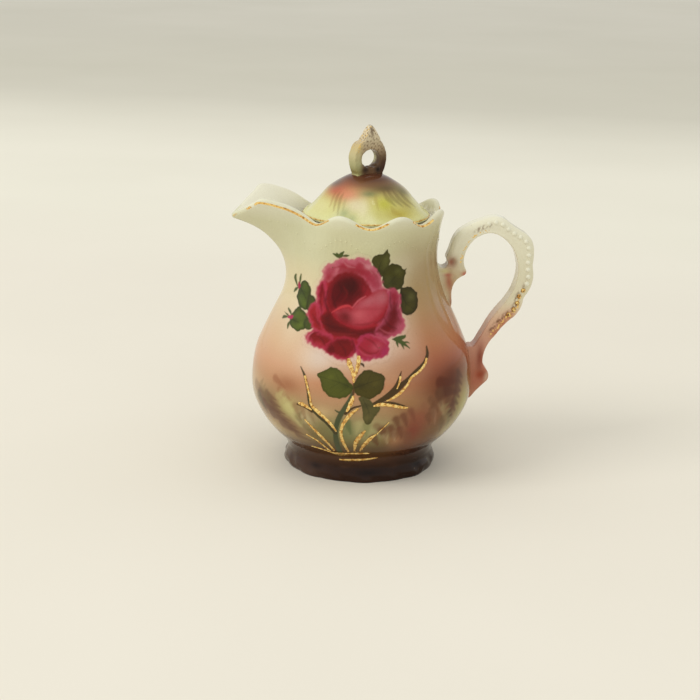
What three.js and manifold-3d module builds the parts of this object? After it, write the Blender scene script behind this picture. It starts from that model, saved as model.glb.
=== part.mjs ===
// Covered porcelain cream jug: a round-bellied jug with a scalloped rim, a wide pouring lip and a loop handle,
// and a domed lid that lifts straight off its seat. Millimetres, +Z up. The handle points along +X and the
// spout along -X. The origin lies on the table under the middle of the whole jug's length.
import * as THREE from "three";
import Module from "manifold-3d";
import { ParametricGeometry } from "three/addons/geometries/ParametricGeometry.js";
import { mergeVertices } from "three/addons/utils/BufferGeometryUtils.js";

// ---- driving dimensions ----
const WALL = 2.8; // thickness of the cast wall
const LUTING_GAP = 0.3; // room left between pieces that slip or glaze joins

const SHOULDER_HEIGHT = 72; // the neck, rim and spout start here
const RIM_LEVEL = 107; // nominal rim, before the scallops lift it
const FLOOR_HEIGHT = 7; // inside floor of the jug
const FOOT_RECESS = 2.5; // depth of the hollow under the foot
const FOOT_RING_INNER = 26;
const FOOT_LOBE = 0.6; // swell of the lobed foot edge
const FOOT_LOBE_HEIGHT = 8;

// Outer radius of the jug at each height.
const BODY_OUTLINE = [
  [0, 32.2],
  [3, 32.7],
  [6.5, 31],
  [11, 32.7],
  [16, 37.7],
  [22, 42.3],
  [30, 46.1],
  [38, 46.9],
  [50, 45.3],
  [59, 41.6],
  [68, 37.2],
  [75, 33.8],
  [84, 31],
  [92, 30],
  [100, 30.6],
  [107, 31.5],
];

const SCALLOPS = 8;
const SCALLOP_LOW = 106.3; // rim height in the dips
const SCALLOP_RISE = 4.3;
const SCALLOP_FLARE = 1.9; // the crests lean outwards by this much
const SPOUT_END_ANGLE = 45; // degrees either side of -X
const SPOUT_SEGMENT_CROWDING = 0.35; // closer segments round the spout

// Rim radius and rim height across the spout, at degrees from -X.
const SPOUT_REACH = [
  [0, 55],
  [5, 52.6],
  [10.5, 50.4],
  [16.3, 48.6],
  [22.5, 47.2],
  [27, 42.3],
  [31, 37.7],
  [36, 33.7],
  [45, 31.6],
  [54, 32.2],
];
const SPOUT_HEIGHT = [
  [0, 105.2],
  [5, 107.3],
  [10.5, 109.8],
  [16.3, 112.2],
  [22.5, 114.3],
  [29, 112.4],
  [37, 108.4],
  [45, 106.3],
  [53, 107.6],
];

// Handle centre line as x, z and thickness, from inside the neck round to inside the belly.
const HANDLE_LINE = [
  [26, 80, 7],
  [33, 84, 7.5],
  [37.6, 88, 7.4],
  [38, 92, 7.4],
  [39.6, 97, 7.4],
  [43.6, 101.4, 7.6],
  [48.6, 103.6, 8],
  [53.2, 104.3, 8.3],
  [58.4, 103.2, 8],
  [63, 99.8, 7.6],
  [66.6, 95.4, 7],
  [68.1, 90, 6.6],
  [68, 84, 6.8],
  [66.6, 77, 7.4],
  [63.2, 71, 6.8],
  [58.6, 64.6, 6.2],
  [54, 58.6, 5.8],
  [50.6, 52.6, 5.2],
  [49.2, 46, 5.4],
  [49.6, 39, 8.4],
  [46, 33, 7],
  [40, 27, 6],
];
const HANDLE_WIDTH = 8.6;
// The tongue that runs down the neck from the handle's upper root.
const TONGUE_LINE = [
  [39, 89, 6],
  [38.6, 84.6, 8.4],
  [36, 79.5, 8],
  [34.6, 74, 6],
  [33.8, 69, 4.4],
  [33, 64, 3],
];
const TONGUE_WIDTH = 9.4;

const LID_SEAT = 107; // underside of the lid's rim
// Height of the lid's dome at each radius.
const LID_OUTLINE = [
  [0, 125.6],
  [6.7, 124.7],
  [11.2, 122.7],
  [16, 119.2],
  [20, 115],
  [24.2, 111.2],
  [26.4, 108.6],
];
const LID_WALL = 2.8;
const LID_HOLLOW_RADIUS = 18;
const COLLAR_OUTER = 20.8; // the collar that keeps the lid centred
const COLLAR_INNER = 18.4;
const COLLAR_BOTTOM = 101.6;
const GALLERY_OPENING = 21.6; // the ledge that carries the lid
const GALLERY_THICKNESS = 2.1;
const GALLERY_REACH = 31;
const POURING_GAP = 26; // break in the ledge behind the spout

const FINIAL_THICKNESS = 5.2;
const FINIAL_BEVEL = 0.8;
const FINIAL_TURN = 30; // degrees about the jug's axis
// Right half of the finial's outline, from its foot to the leaf's tip, as x and z.
const FINIAL_OUTLINE = [
  [6.4, 123],
  [7.9, 129],
  [7.7, 134],
  [5.9, 138],
  [4.1, 140.2],
  [2.2, 142.8],
];
const FINIAL_TIP = 145;
const FINIAL_EYE = { z: 131.2, halfWidth: 4.6, halfHeight: 3.7 };

const BODY_SEGMENTS = 60;
const LID_SEGMENTS = 48;
const STRAP_SECTION_SIDES = 10;
const STRAP_STEPS = 44;
const TONGUE_STEPS = 10;
const FINIAL_STEPS = 26; // points round the outline
const EYE_STEPS = 14;

const wasm = await Module();
wasm.setup();

// ---- helpers ----

// Smooth value at x through [x, value] knots, each knot's slope taken from its neighbours.
function smooth(knots, x) {
  const last = knots.length - 1;
  let i = 0;
  while (i < last - 1 && x > knots[i + 1][0]) i += 1;
  const slope = (k) => {
    const before = knots[Math.max(k - 1, 0)];
    const after = knots[Math.min(k + 1, last)];
    return (after[1] - before[1]) / (after[0] - before[0]);
  };
  const span = knots[i + 1][0] - knots[i][0];
  const t = THREE.MathUtils.clamp((x - knots[i][0]) / span, 0, 1);
  const ease = t * t * (3 - 2 * t);
  const start = span * slope(i) * t * (1 - t) * (1 - t);
  const end = span * slope(i + 1) * t * t * (t - 1);
  return knots[i][1] * (1 - ease) + knots[i + 1][1] * ease + start + end;
}

// A closed geometry with its seams and poles welded, as a manifold solid.
function solid(geometry) {
  geometry.deleteAttribute("normal");
  geometry.deleteAttribute("uv");
  const welded = mergeVertices(geometry, 1e-4);
  const mesh = new wasm.Mesh({
    numProp: 3,
    vertProperties: welded.attributes.position.array,
    triVerts: new Uint32Array(welded.index.array),
  });
  return new wasm.Manifold(mesh);
}

function geometryOf(manifold) {
  const mesh = manifold.getMesh();
  const geometry = new THREE.BufferGeometry();
  geometry.setAttribute("position", new THREE.BufferAttribute(mesh.vertProperties, 3));
  geometry.setIndex(new THREE.BufferAttribute(mesh.triVerts, 1));
  geometry.computeVertexNormals();
  return geometry;
}

// ---- the jug's surface ----

// How far the rim stands out past a plain round neck, at an angle in degrees from -X.
function rimReach(degrees) {
  const away = Math.abs(degrees);
  const plain = smooth(BODY_OUTLINE, RIM_LEVEL);
  if (away < SPOUT_END_ANGLE) return smooth(SPOUT_REACH, away) - plain;
  return SCALLOP_FLARE * scallop(away);
}

function rimHeight(degrees) {
  const away = Math.abs(degrees);
  if (away < SPOUT_END_ANGLE) return smooth(SPOUT_HEIGHT, away);
  return SCALLOP_LOW + SCALLOP_RISE * scallop(away);
}

// 0 in a dip and 1 on a crest.
function scallop(degrees) {
  return (1 - Math.cos(THREE.MathUtils.degToRad(SCALLOPS * degrees))) / 2;
}

// Outer surface as radius and height. Level runs from 0 at the table to RIM_LEVEL at the rim.
function outerPoint(degrees, level) {
  const rise = Math.max(0, (level - SHOULDER_HEIGHT) / (RIM_LEVEL - SHOULDER_HEIGHT));
  const lift = 0.6 * rise ** 2 + 0.4 * rise ** 8;
  const foot = Math.max(0, 1 - level / FOOT_LOBE_HEIGHT);
  const radius =
    smooth(BODY_OUTLINE, level) +
    rimReach(degrees) * lift +
    FOOT_LOBE * foot * (1 - 2 * scallop(degrees));
  return new THREE.Vector2(radius, level + (rimHeight(degrees) - RIM_LEVEL) * rise);
}

// Direction in which the outer surface climbs.
function climb(degrees, level) {
  const step = 0.5;
  const below = outerPoint(degrees, level - step);
  return outerPoint(degrees, Math.min(level, RIM_LEVEL)).sub(below).normalize();
}

function innerPoint(degrees, level) {
  const up = climb(degrees, level);
  return outerPoint(degrees, level).add(new THREE.Vector2(-up.y, up.x).multiplyScalar(WALL));
}

// The rounded top of the wall.
function lipPoint(degrees) {
  const middle = outerPoint(degrees, RIM_LEVEL).add(innerPoint(degrees, RIM_LEVEL)).multiplyScalar(0.5);
  return middle.add(climb(degrees, RIM_LEVEL).multiplyScalar(WALL / 2));
}

// A closed solid whose rows run round the jug's axis. Each row gives radius and height at an angle.
function turned(rows) {
  const place = (u, v, target) => {
    const even = 2 * Math.PI * u;
    const angle = even - SPOUT_SEGMENT_CROWDING * Math.sin(even);
    const degrees = THREE.MathUtils.radToDeg(angle);
    const point = rows[Math.round(v * (rows.length - 1))](degrees > 180 ? degrees - 360 : degrees);
    target.set(-point.x * Math.cos(angle), -point.x * Math.sin(angle), point.y);
  };
  return solid(new ParametricGeometry(place, BODY_SEGMENTS, rows.length - 1));
}

const fixedRow = (radius, height) => () => new THREE.Vector2(radius, height);
const outerRow = (level) => (degrees) => outerPoint(degrees, level);
const innerRow = (level) => (degrees) => innerPoint(degrees, level);
const OUTER_LEVELS = [0, 3, 6.5, 11, 16, 22, 30, 38, 46, 54, 63, 72, 79, 85, 90, 94, 98, 101, 104, 107];
const INNER_LEVELS = [107, 104, 101, 98, 92, 85, 76, 63, 50, 38, 26, 15];

function jugBody() {
  return turned([
    fixedRow(0, FOOT_RECESS),
    fixedRow(FOOT_RING_INNER, FOOT_RECESS),
    fixedRow(FOOT_RING_INNER + FOOT_RECESS, 0),
    ...OUTER_LEVELS.map(outerRow),
    lipPoint,
    ...INNER_LEVELS.map(innerRow),
    fixedRow(FOOT_RING_INNER, FLOOR_HEIGHT),
    fixedRow(0, FLOOR_HEIGHT),
  ]);
}

// The jug's outside as one full solid, grown by the luting gap, that roots are cut back with.
function jugEnvelope() {
  const grown = (level) => (degrees) =>
    outerPoint(degrees, level).add(new THREE.Vector2(LUTING_GAP, 0));
  return turned([fixedRow(0, 0), ...OUTER_LEVELS.map(grown), fixedRow(0, RIM_LEVEL)]);
}

// The jug's inside as one full solid, shrunk by the luting gap, that the ledge is trimmed with.
function jugHollow() {
  const shrunk = (level) => (degrees) =>
    innerPoint(degrees, level).sub(new THREE.Vector2(LUTING_GAP, 0));
  const levels = INNER_LEVELS.slice().reverse();
  return turned([fixedRow(0, FLOOR_HEIGHT), ...levels.map(shrunk), fixedRow(0, RIM_LEVEL + WALL)]);
}

// ---- handle ----

// A strap of rounded section along a line in the XZ plane, its ends closed to a point.
function strap(line, width, steps) {
  const curve = new THREE.SplineCurve(line.map(([x, z]) => new THREE.Vector2(x, z)));
  const thickness = line.map((point, i) => [i / (line.length - 1), point[2]]);
  const squared = (c) => Math.sign(c) * Math.abs(c) ** 0.75;
  const place = (u, v, target) => {
    const middle = curve.getPoint(v);
    const along = curve.getTangent(v);
    const capped = v === 0 || v === 1 ? 0 : 1;
    const across = (capped * squared(Math.cos(2 * Math.PI * u)) * smooth(thickness, v)) / 2;
    const side = (-capped * squared(Math.sin(2 * Math.PI * u)) * width) / 2;
    target.set(middle.x - along.y * across, side, middle.y + along.x * across);
  };
  return solid(new ParametricGeometry(place, STRAP_SECTION_SIDES, steps));
}

function handle() {
  const loop = strap(HANDLE_LINE, HANDLE_WIDTH, STRAP_STEPS);
  const tongue = strap(TONGUE_LINE, TONGUE_WIDTH, TONGUE_STEPS);
  return loop.add(tongue).subtract(jugEnvelope());
}

// ---- lid, its collar, its seat and its finial ----

// A lathe profile of [radius, height] points turned about +Z.
function lathe(points) {
  const profile = points.map(([r, z]) => new THREE.Vector2(r, z));
  return solid(new THREE.LatheGeometry(profile, LID_SEGMENTS).rotateX(Math.PI / 2));
}

function ring(inner, outer, bottom, top) {
  return lathe([
    [inner, top],
    [inner, bottom],
    [outer, bottom],
    [outer, top],
    [inner, top],
  ]);
}

function lidGallery() {
  const top = LID_SEAT - LUTING_GAP;
  const ledge = ring(GALLERY_OPENING, GALLERY_REACH, top - GALLERY_THICKNESS, top);
  const gap = new THREE.BoxGeometry(GALLERY_REACH, POURING_GAP, 4 * GALLERY_THICKNESS);
  gap.translate(-GALLERY_REACH / 2 - GALLERY_OPENING / 2, 0, top);
  return ledge.intersect(jugHollow()).subtract(solid(gap));
}

function lidDome() {
  const dome = LID_OUTLINE.slice().reverse();
  const roof = [0, 9, 14, 17].map((r) => [r, smooth(LID_OUTLINE, r) - LID_WALL]);
  const edge = dome[0][0];
  return lathe([
    ...roof,
    [LID_HOLLOW_RADIUS, LID_SEAT + 1.6 * LID_WALL],
    [LID_HOLLOW_RADIUS, LID_SEAT],
    [edge - 0.8, LID_SEAT],
    [edge, LID_SEAT + 0.7],
    ...dome,
  ]);
}

function lidCollar() {
  return ring(COLLAR_INNER, COLLAR_OUTER, COLLAR_BOTTOM, LID_SEAT - LUTING_GAP);
}

// The lid's dome as a full solid grown by the luting gap, that the finial's foot is cut back with.
function domeEnvelope() {
  const outline = LID_OUTLINE.map(([r, z]) => [r, z + LUTING_GAP]);
  const edge = outline.at(-1)[0];
  return lathe([[0, LID_SEAT], [edge, LID_SEAT], ...outline.reverse()]);
}

function lidFinial() {
  const right = FINIAL_OUTLINE.map(([x, z]) => new THREE.Vector2(x, z));
  const left = right.map((p) => new THREE.Vector2(-p.x, p.y)).reverse();
  const tip = new THREE.Vector2(0, FINIAL_TIP);
  const shape = new THREE.Shape();
  shape.setFromPoints(new THREE.SplineCurve([...right, tip, ...left]).getPoints(FINIAL_STEPS));
  const { z, halfWidth, halfHeight } = FINIAL_EYE;
  const eye = new THREE.EllipseCurve(0, z, halfWidth, halfHeight, 0, 2 * Math.PI, true);
  shape.holes.push(new THREE.Path(eye.getPoints(EYE_STEPS)));
  const plate = new THREE.ExtrudeGeometry(shape, {
    depth: FINIAL_THICKNESS - 2 * FINIAL_BEVEL,
    bevelThickness: FINIAL_BEVEL,
    bevelSize: FINIAL_BEVEL,
    bevelOffset: -FINIAL_BEVEL,
    bevelSegments: 1,
  });
  plate.translate(0, 0, FINIAL_BEVEL - FINIAL_THICKNESS / 2);
  plate.rotateX(Math.PI / 2);
  plate.rotateZ(THREE.MathUtils.degToRad(FINIAL_TURN));
  return solid(plate).subtract(domeEnvelope());
}

// ---- assembly ----

function piece(name, manifold, color, roughness) {
  const material = new THREE.MeshStandardMaterial({ color, roughness, metalness: 0 });
  const mesh = new THREE.Mesh(geometryOf(manifold), material);
  mesh.name = name;
  return mesh;
}

const jug = new THREE.Group();
jug.add(piece("jug_body", jugBody(), 0xe9dcc0, 0.15));
jug.add(piece("jug_handle", handle(), 0xece6d6, 0.15));
jug.add(piece("lid_gallery", lidGallery(), 0xe6e2d2, 0.2));

const lid = new THREE.Group();
lid.add(piece("lid_dome", lidDome(), 0xd9dba0, 0.15));
lid.add(piece("lid_collar", lidCollar(), 0xe6e2d2, 0.2));
lid.add(piece("lid_finial", lidFinial(), 0xd8cba4, 0.15));

const coveredJug = new THREE.Group();
coveredJug.add(jug, lid);
const extent = new THREE.Box3().setFromObject(coveredJug, true);
coveredJug.position.x = -(extent.min.x + extent.max.x) / 2;

export default coveredJug;
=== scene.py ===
"""Looks of the covered porcelain cream jug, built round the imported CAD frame.

Lengths in the tables are millimetres, angles are degrees, and colours are sRGB from 0 to 255.
Everything that reaches Blender is in metres.
"""
import math

import bpy
import numpy as np
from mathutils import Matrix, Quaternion, Vector


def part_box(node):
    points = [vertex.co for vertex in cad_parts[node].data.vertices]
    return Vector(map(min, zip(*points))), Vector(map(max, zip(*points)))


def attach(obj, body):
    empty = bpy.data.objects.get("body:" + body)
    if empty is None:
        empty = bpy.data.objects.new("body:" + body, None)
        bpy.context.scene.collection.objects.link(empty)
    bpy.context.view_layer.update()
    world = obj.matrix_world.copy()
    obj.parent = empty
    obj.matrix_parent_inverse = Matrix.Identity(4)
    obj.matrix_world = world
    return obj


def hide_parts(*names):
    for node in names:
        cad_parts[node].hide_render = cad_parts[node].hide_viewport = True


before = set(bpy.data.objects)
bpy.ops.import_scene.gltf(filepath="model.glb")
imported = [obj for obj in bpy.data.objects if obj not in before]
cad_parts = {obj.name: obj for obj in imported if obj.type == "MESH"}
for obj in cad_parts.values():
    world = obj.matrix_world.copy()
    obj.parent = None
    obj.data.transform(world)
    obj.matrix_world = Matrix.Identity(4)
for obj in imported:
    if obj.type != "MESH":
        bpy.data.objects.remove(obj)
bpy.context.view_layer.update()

MM = 0.001
WELD = 1e-6  # metres within which seams and poles are joined
lid_low, lid_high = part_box("lid_dome")
AXIS_X = (lid_low.x + lid_high.x) / 2  # the jug's own axis, which the lid is centred on
FRONT_TURN = 3.5  # the rose faces this far round from -Y, towards the spout

WALL = 2.8
SHOULDER_HEIGHT = 72
RIM_LEVEL = 107
FLOOR_HEIGHT = 7
FOOT_RECESS = 2.5
FOOT_RING_INNER = 26

# Outer radius of the jug at each height.
BODY_OUTLINE = [
    (0, 32.2), (3, 32.7), (6.5, 31), (11, 32.7), (16, 37.7), (22, 42.3), (30, 46.1), (38, 46.9),
    (50, 45.3), (59, 41.6), (68, 37.2), (75, 33.8), (84, 31), (92, 30), (100, 30.6), (107, 31.5),
]
SCALLOPS = 8
SCALLOP_PITCH = 360 / SCALLOPS
SCALLOP_LOW = 106.3
SCALLOP_RISE = 4.3
SCALLOP_FLARE = 1.9
SPOUT_END = 45
SPOUT_REACH = [
    (0, 55), (5, 52.6), (10.5, 50.4), (16.3, 48.6), (22.5, 47.2), (27, 42.3), (31, 37.7), (36, 33.7),
    (45, 31.6), (54, 32.2),
]
SPOUT_HEIGHT = [
    (0, 105.2), (5, 107.3), (10.5, 109.8), (16.3, 112.2), (22.5, 114.3), (29, 112.4), (37, 108.4),
    (45, 106.3), (53, 107.6),
]

# ---------------------------------------------------------------- small helpers


def smooth(knots, x):
    """Smooth value at x through (x, value) knots, each knot's slope taken from its neighbours."""
    xs, ys = np.array(knots, float).T
    slopes = np.gradient(ys, xs)
    slopes[1:-1] = (ys[2:] - ys[:-2]) / (xs[2:] - xs[:-2])
    i = np.clip(np.searchsorted(xs, x, side="right") - 1, 0, len(xs) - 2)
    h = xs[i + 1] - xs[i]
    t = np.clip((x - xs[i]) / h, 0, 1)
    ease = t * t * (3 - 2 * t)
    bend = h * t * (1 - t) * (slopes[i] * (1 - t) - slopes[i + 1] * t)
    return ys[i] * (1 - ease) + ys[i + 1] * ease + bend


def step(low, high, x):
    """0 below low, 1 above high, eased between."""
    t = np.clip((x - low) / (high - low), 0, 1)
    return t * t * (3 - 2 * t)


def linear(colour):
    c = np.array(colour, float) / 255
    return np.where(c <= 0.04045, c / 12.92, ((c + 0.055) / 1.055) ** 2.4)


def deselect():
    if bpy.context.object and bpy.context.object.mode != "OBJECT":
        bpy.ops.object.mode_set(mode="OBJECT")
    bpy.ops.object.select_all(action="DESELECT")


def only(piece):
    deselect()
    piece.select_set(True)
    bpy.context.view_layer.objects.active = piece


def points_of(piece):
    co = np.empty(len(piece.data.vertices) * 3)
    piece.data.vertices.foreach_get("co", co)
    return co.reshape(-1, 3)


def move_points(piece, points):
    piece.data.vertices.foreach_set("co", np.asarray(points, float).ravel())
    piece.data.update()


def tidy_mesh(piece):
    """Welds seams and poles, and turns every face outwards."""
    only(piece)
    bpy.ops.object.mode_set(mode="EDIT")
    bpy.ops.mesh.select_all(action="SELECT")
    bpy.ops.mesh.remove_doubles(threshold=WELD)
    bpy.ops.mesh.normals_make_consistent(inside=False)
    bpy.ops.object.mode_set(mode="OBJECT")


def apply(piece, kind, **settings):
    only(piece)
    modifier = piece.modifiers.new(kind.lower(), kind)
    for name, value in settings.items():
        setattr(modifier, name, value)
    bpy.ops.object.modifier_apply(modifier=modifier.name)


def sheet_of(name, place, columns, rows):
    """A grid added flat and laid where place(u, v) says, in millimetres about the jug's axis."""
    deselect()
    bpy.ops.mesh.primitive_grid_add(x_subdivisions=columns, y_subdivisions=rows, size=1)
    piece = bpy.context.object
    piece.name = name
    flat = points_of(piece)
    placed = np.stack(place(flat[:, 0] + 0.5, flat[:, 1] + 0.5), -1) * MM
    placed[:, 0] += AXIS_X
    move_points(piece, placed)
    return piece


def turned(name, profile, steps):
    """A round piece: a chain of points drawn from a primitive's corner and spun round the jug's axis."""
    deselect()
    bpy.ops.mesh.primitive_plane_add(size=1)
    piece = bpy.context.object
    piece.name = name
    start = Vector((profile[0][0] * MM, 0, profile[0][1] * MM))
    bpy.ops.object.mode_set(mode="EDIT")
    bpy.ops.mesh.select_all(action="SELECT")
    bpy.ops.mesh.merge(type="CENTER")
    bpy.ops.transform.translate(value=start)
    for (r0, z0), (r1, z1) in zip(profile, profile[1:]):
        stretch = ((r1 - r0) * MM, 0, (z1 - z0) * MM)
        bpy.ops.mesh.extrude_region_move(TRANSFORM_OT_translate={"value": stretch})
    bpy.ops.mesh.select_all(action="SELECT")
    bpy.ops.mesh.spin(steps=steps, angle=2 * math.pi, center=(0, 0, 0), axis=(0, 0, 1))
    bpy.ops.mesh.select_all(action="SELECT")
    bpy.ops.transform.translate(value=(AXIS_X, 0, 0))
    bpy.ops.object.mode_set(mode="OBJECT")
    tidy_mesh(piece)
    return piece


def keep(piece, body, material, replaces=()):
    """Finishes a piece: its shading, its material, the body it rides on and the nodes it stands for."""
    only(piece)
    bpy.ops.object.transform_apply(location=True, rotation=True, scale=True)
    bpy.ops.object.shade_smooth()
    piece.data.materials.clear()
    piece.data.materials.append(material)
    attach(piece, body)
    if replaces:
        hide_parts(*replaces)
    return piece


def colour_points(piece, rgb):
    """Stores a linear colour for each vertex."""
    rgba = np.ones((len(rgb), 4))
    rgba[:, :3] = rgb
    attribute = piece.data.color_attributes.new("paint", "FLOAT_COLOR", "POINT")
    attribute.data.foreach_set("color", rgba.ravel())
    piece.data.color_attributes.active_color = attribute


def mottle(points, size, seed):
    """A smooth noise from -1 to 1 over points in millimetres, the same each run."""
    rng = np.random.default_rng(seed)
    total = np.zeros(len(points))
    for _ in range(7):
        way = rng.normal(size=3)
        way *= 2 * math.pi / (size * np.linalg.norm(way) * rng.uniform(0.7, 1.5))
        total += np.sin(points @ way + rng.uniform(0, 2 * math.pi))
    return total / 4


# ---------------------------------------------------------------- the jug's surface


def scallop(away):
    return (1 - np.cos(np.radians(SCALLOPS * away))) / 2


def rim_reach(away):
    plain = smooth(BODY_OUTLINE, RIM_LEVEL)
    return np.where(away < SPOUT_END, smooth(SPOUT_REACH, away) - plain, SCALLOP_FLARE * scallop(away))


def rim_height(away):
    scalloped = SCALLOP_LOW + SCALLOP_RISE * scallop(away)
    return np.where(away < SPOUT_END, smooth(SPOUT_HEIGHT, away), scalloped)


def relief(away, level):
    """The moulded detail outside: panels up the neck, fans under the scallops and a lobed foot."""
    panels = 0.5 * np.cos(np.radians(SCALLOPS * away)) * step(48, 78, level) * (1 - step(97, 104, level))
    across = np.radians(np.abs(away % SCALLOP_PITCH - SCALLOP_PITCH / 2)) * 31
    fan = np.exp(-((across / 6.5) ** 4)) * step(95.5, 97.5, level) * (1 - step(100.5, 102, level))
    flutes = 0.07 * np.cos(2 * math.pi * across / 2.1) * fan * (away > SPOUT_END)
    foot = np.clip(1 - level / 8, 0, 1)
    scallops = 0.55 * np.abs(np.cos(np.radians(SCALLOPS * away))) * (1 - step(0.6, 3, level))
    lobes = foot * (0.3 * np.cos(np.radians(SCALLOPS * away)) - 0.7) + scallops
    feathers = -0.42 * np.clip(np.sin(np.radians(16 * away + 20 * level)), 0, 1) * step(1, 2.4, level)
    ridge = 0.55 * np.exp(-(((away - 158) / 1.7) ** 2)) * step(58, 68, level) * (1 - step(98, 104, level))
    return panels + flutes + lobes + ridge + feathers * (1 - step(4, 6, level))


def outer(away, level):
    """Radius and height of the outside, away degrees from the spout, level from the table up to the rim."""
    rise = np.clip((level - SHOULDER_HEIGHT) / (RIM_LEVEL - SHOULDER_HEIGHT), 0, None)
    lift = 0.6 * rise**2 + 0.4 * rise**8
    radius = smooth(BODY_OUTLINE, level) + rim_reach(away) * lift + relief(away, level)
    return radius, level + (rim_height(away) - RIM_LEVEL) * rise


def wall_point(away, level, depth, above=0.0):
    """A point depth inside the outside surface, square to it, and above past it along its climb."""
    r1, z1 = outer(away, level)
    r0, z0 = outer(away, level - 0.5)
    dr, dz = r1 - r0, z1 - z0
    length = np.hypot(dr, dz)
    up_r, up_z = dr / length, dz / length
    return r1 - up_z * depth + up_r * above, z1 + up_r * depth + up_z * above


def from_spout(theta):
    """Degrees away from the spout, of an angle in radians from +X."""
    return np.abs((np.degrees(theta) % 360) - 180)


def on_jug(bearing, level, height):
    """A point height above the glaze, bearing degrees from the jug's front towards the handle."""
    theta = np.radians(bearing - 90 - FRONT_TURN)
    r, z = wall_point(from_spout(theta), level, -height)
    return r * np.cos(theta), r * np.sin(theta), z


def level_at(away, z):
    """The level whose point on the outside is at height z."""
    climb = (rim_height(away) - RIM_LEVEL) / (RIM_LEVEL - SHOULDER_HEIGHT)
    return np.where(z > SHOULDER_HEIGHT, (z + climb * SHOULDER_HEIGHT) / (1 + climb), z)


def away_of(bearing):
    return from_spout(np.radians(bearing - 90 - FRONT_TURN))


def radius_at(bearing, z):
    away = away_of(bearing)
    return outer(away, level_at(away, z))[0]


def facing(x, z):
    """Bearing of the outside point at height z that stands x beside the axis, seen from the front."""
    bearing = np.zeros_like(np.asarray(x, float) + z)
    for _ in range(4):
        bearing = np.degrees(np.arcsin(np.clip(x / radius_at(bearing, z), -1, 1)))
    return bearing


def over_glaze(bearing, z, height):
    return on_jug(bearing, level_at(away_of(bearing), z), height)


def bearing_of(points):
    """Bearing in degrees of points in millimetres about the jug's axis."""
    turned_by = np.degrees(np.arctan2(points[:, 1], points[:, 0])) + 90 + FRONT_TURN
    return (turned_by + 180) % 360 - 180


def about_axis(piece):
    """A piece's points in millimetres about the jug's axis."""
    points = points_of(piece) / MM
    points[:, 0] -= AXIS_X / MM
    return points


# ---------------------------------------------------------------- materials


def new_material(name):
    material = bpy.data.materials.new(name)
    material.use_nodes = True
    nodes = material.node_tree.nodes
    return material, nodes, material.node_tree.links, nodes["Principled BSDF"]


def noise(nodes, links, scale, detail):
    """Noise on the piece's own coordinates, scale in waves per metre."""
    texture = nodes.new("ShaderNodeTexNoise")
    texture.inputs["Scale"].default_value = scale
    texture.inputs["Detail"].default_value = detail
    texture.inputs["Roughness"].default_value = 0.55
    links.new(nodes.new("ShaderNodeTexCoord").outputs["Object"], texture.inputs["Vector"])
    return texture.outputs["Fac"]


def ramp(nodes, links, value, stops):
    """A colour ramp of (place, sRGB colour or grey) stops."""
    node = nodes.new("ShaderNodeValToRGB")
    elements = node.color_ramp.elements
    while len(elements) < len(stops):
        elements.new(0.5)
    for element, (place, colour) in zip(elements, stops):
        element.position = place
        rgb = (colour,) * 3 if np.isscalar(colour) else linear(colour)
        element.color = (*rgb, 1)
    links.new(value, node.inputs["Fac"])
    return node.outputs["Color"]


def mix(nodes, links, kind, factor, first, second):
    node = nodes.new("ShaderNodeMix")
    node.data_type = "RGBA"
    node.blend_type = kind
    for socket, value in ((0, factor), (6, first), (7, second)):
        if hasattr(value, "links"):
            links.new(value, node.inputs[socket])
        elif socket == 0:
            node.inputs[0].default_value = value
        else:
            node.inputs[socket].default_value = (*linear(value), 1)
    return node.outputs[2]


def add_bump(nodes, links, shader, scale, detail, strength, distance):
    """Fine unevenness of the surface, as deep as distance in metres."""
    bump = nodes.new("ShaderNodeBump")
    bump.inputs["Strength"].default_value = strength
    bump.inputs["Distance"].default_value = distance
    links.new(noise(nodes, links, scale, detail), bump.inputs["Height"])
    links.new(bump.outputs["Normal"], shader.inputs["Normal"])


def add_glaze(nodes, links, shader):
    """A fired glaze: clear gloss, with a faint orange peel and slightly duller, hand-worn patches."""
    shader.inputs["IOR"].default_value = 1.5
    shader.inputs["Specular IOR Level"].default_value = 0.17
    dulled = ramp(nodes, links, noise(nodes, links, 60, 4), [(0.35, 0.07), (0.75, 0.16)])
    links.new(dulled, shader.inputs["Roughness"])
    add_bump(nodes, links, shader, 900, 2, 0.06, 0.0003)


def painted_glaze(name, speckle=0.5):
    """Glaze over hand-laid colours, with the grain of the airbrush and a few iron specks."""
    material, nodes, links, shader = new_material(name)
    paint = nodes.new("ShaderNodeAttribute")
    paint.attribute_name = "paint"
    grain_tones = [(0.3, (236, 232, 226)), (0.7, (255, 255, 255))]
    grain = ramp(nodes, links, noise(nodes, links, 2600, 2), grain_tones)
    colour = mix(nodes, links, "MULTIPLY", speckle, paint.outputs["Color"], grain)
    specks = ramp(nodes, links, noise(nodes, links, 700, 1), [(0.8, 0.0), (0.84, 1.0)])
    colour = mix(nodes, links, "MIX", specks, colour, (96, 74, 52))
    links.new(colour, shader.inputs["Base Color"])
    add_glaze(nodes, links, shader)
    return material


def plain_glaze(name, colour):
    material, nodes, links, shader = new_material(name)
    tint = ramp(nodes, links, noise(nodes, links, 45, 4), [(0.3, np.array(colour) - 10), (0.7, colour)])
    links.new(tint, shader.inputs["Base Color"])
    add_glaze(nodes, links, shader)
    return material


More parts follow.
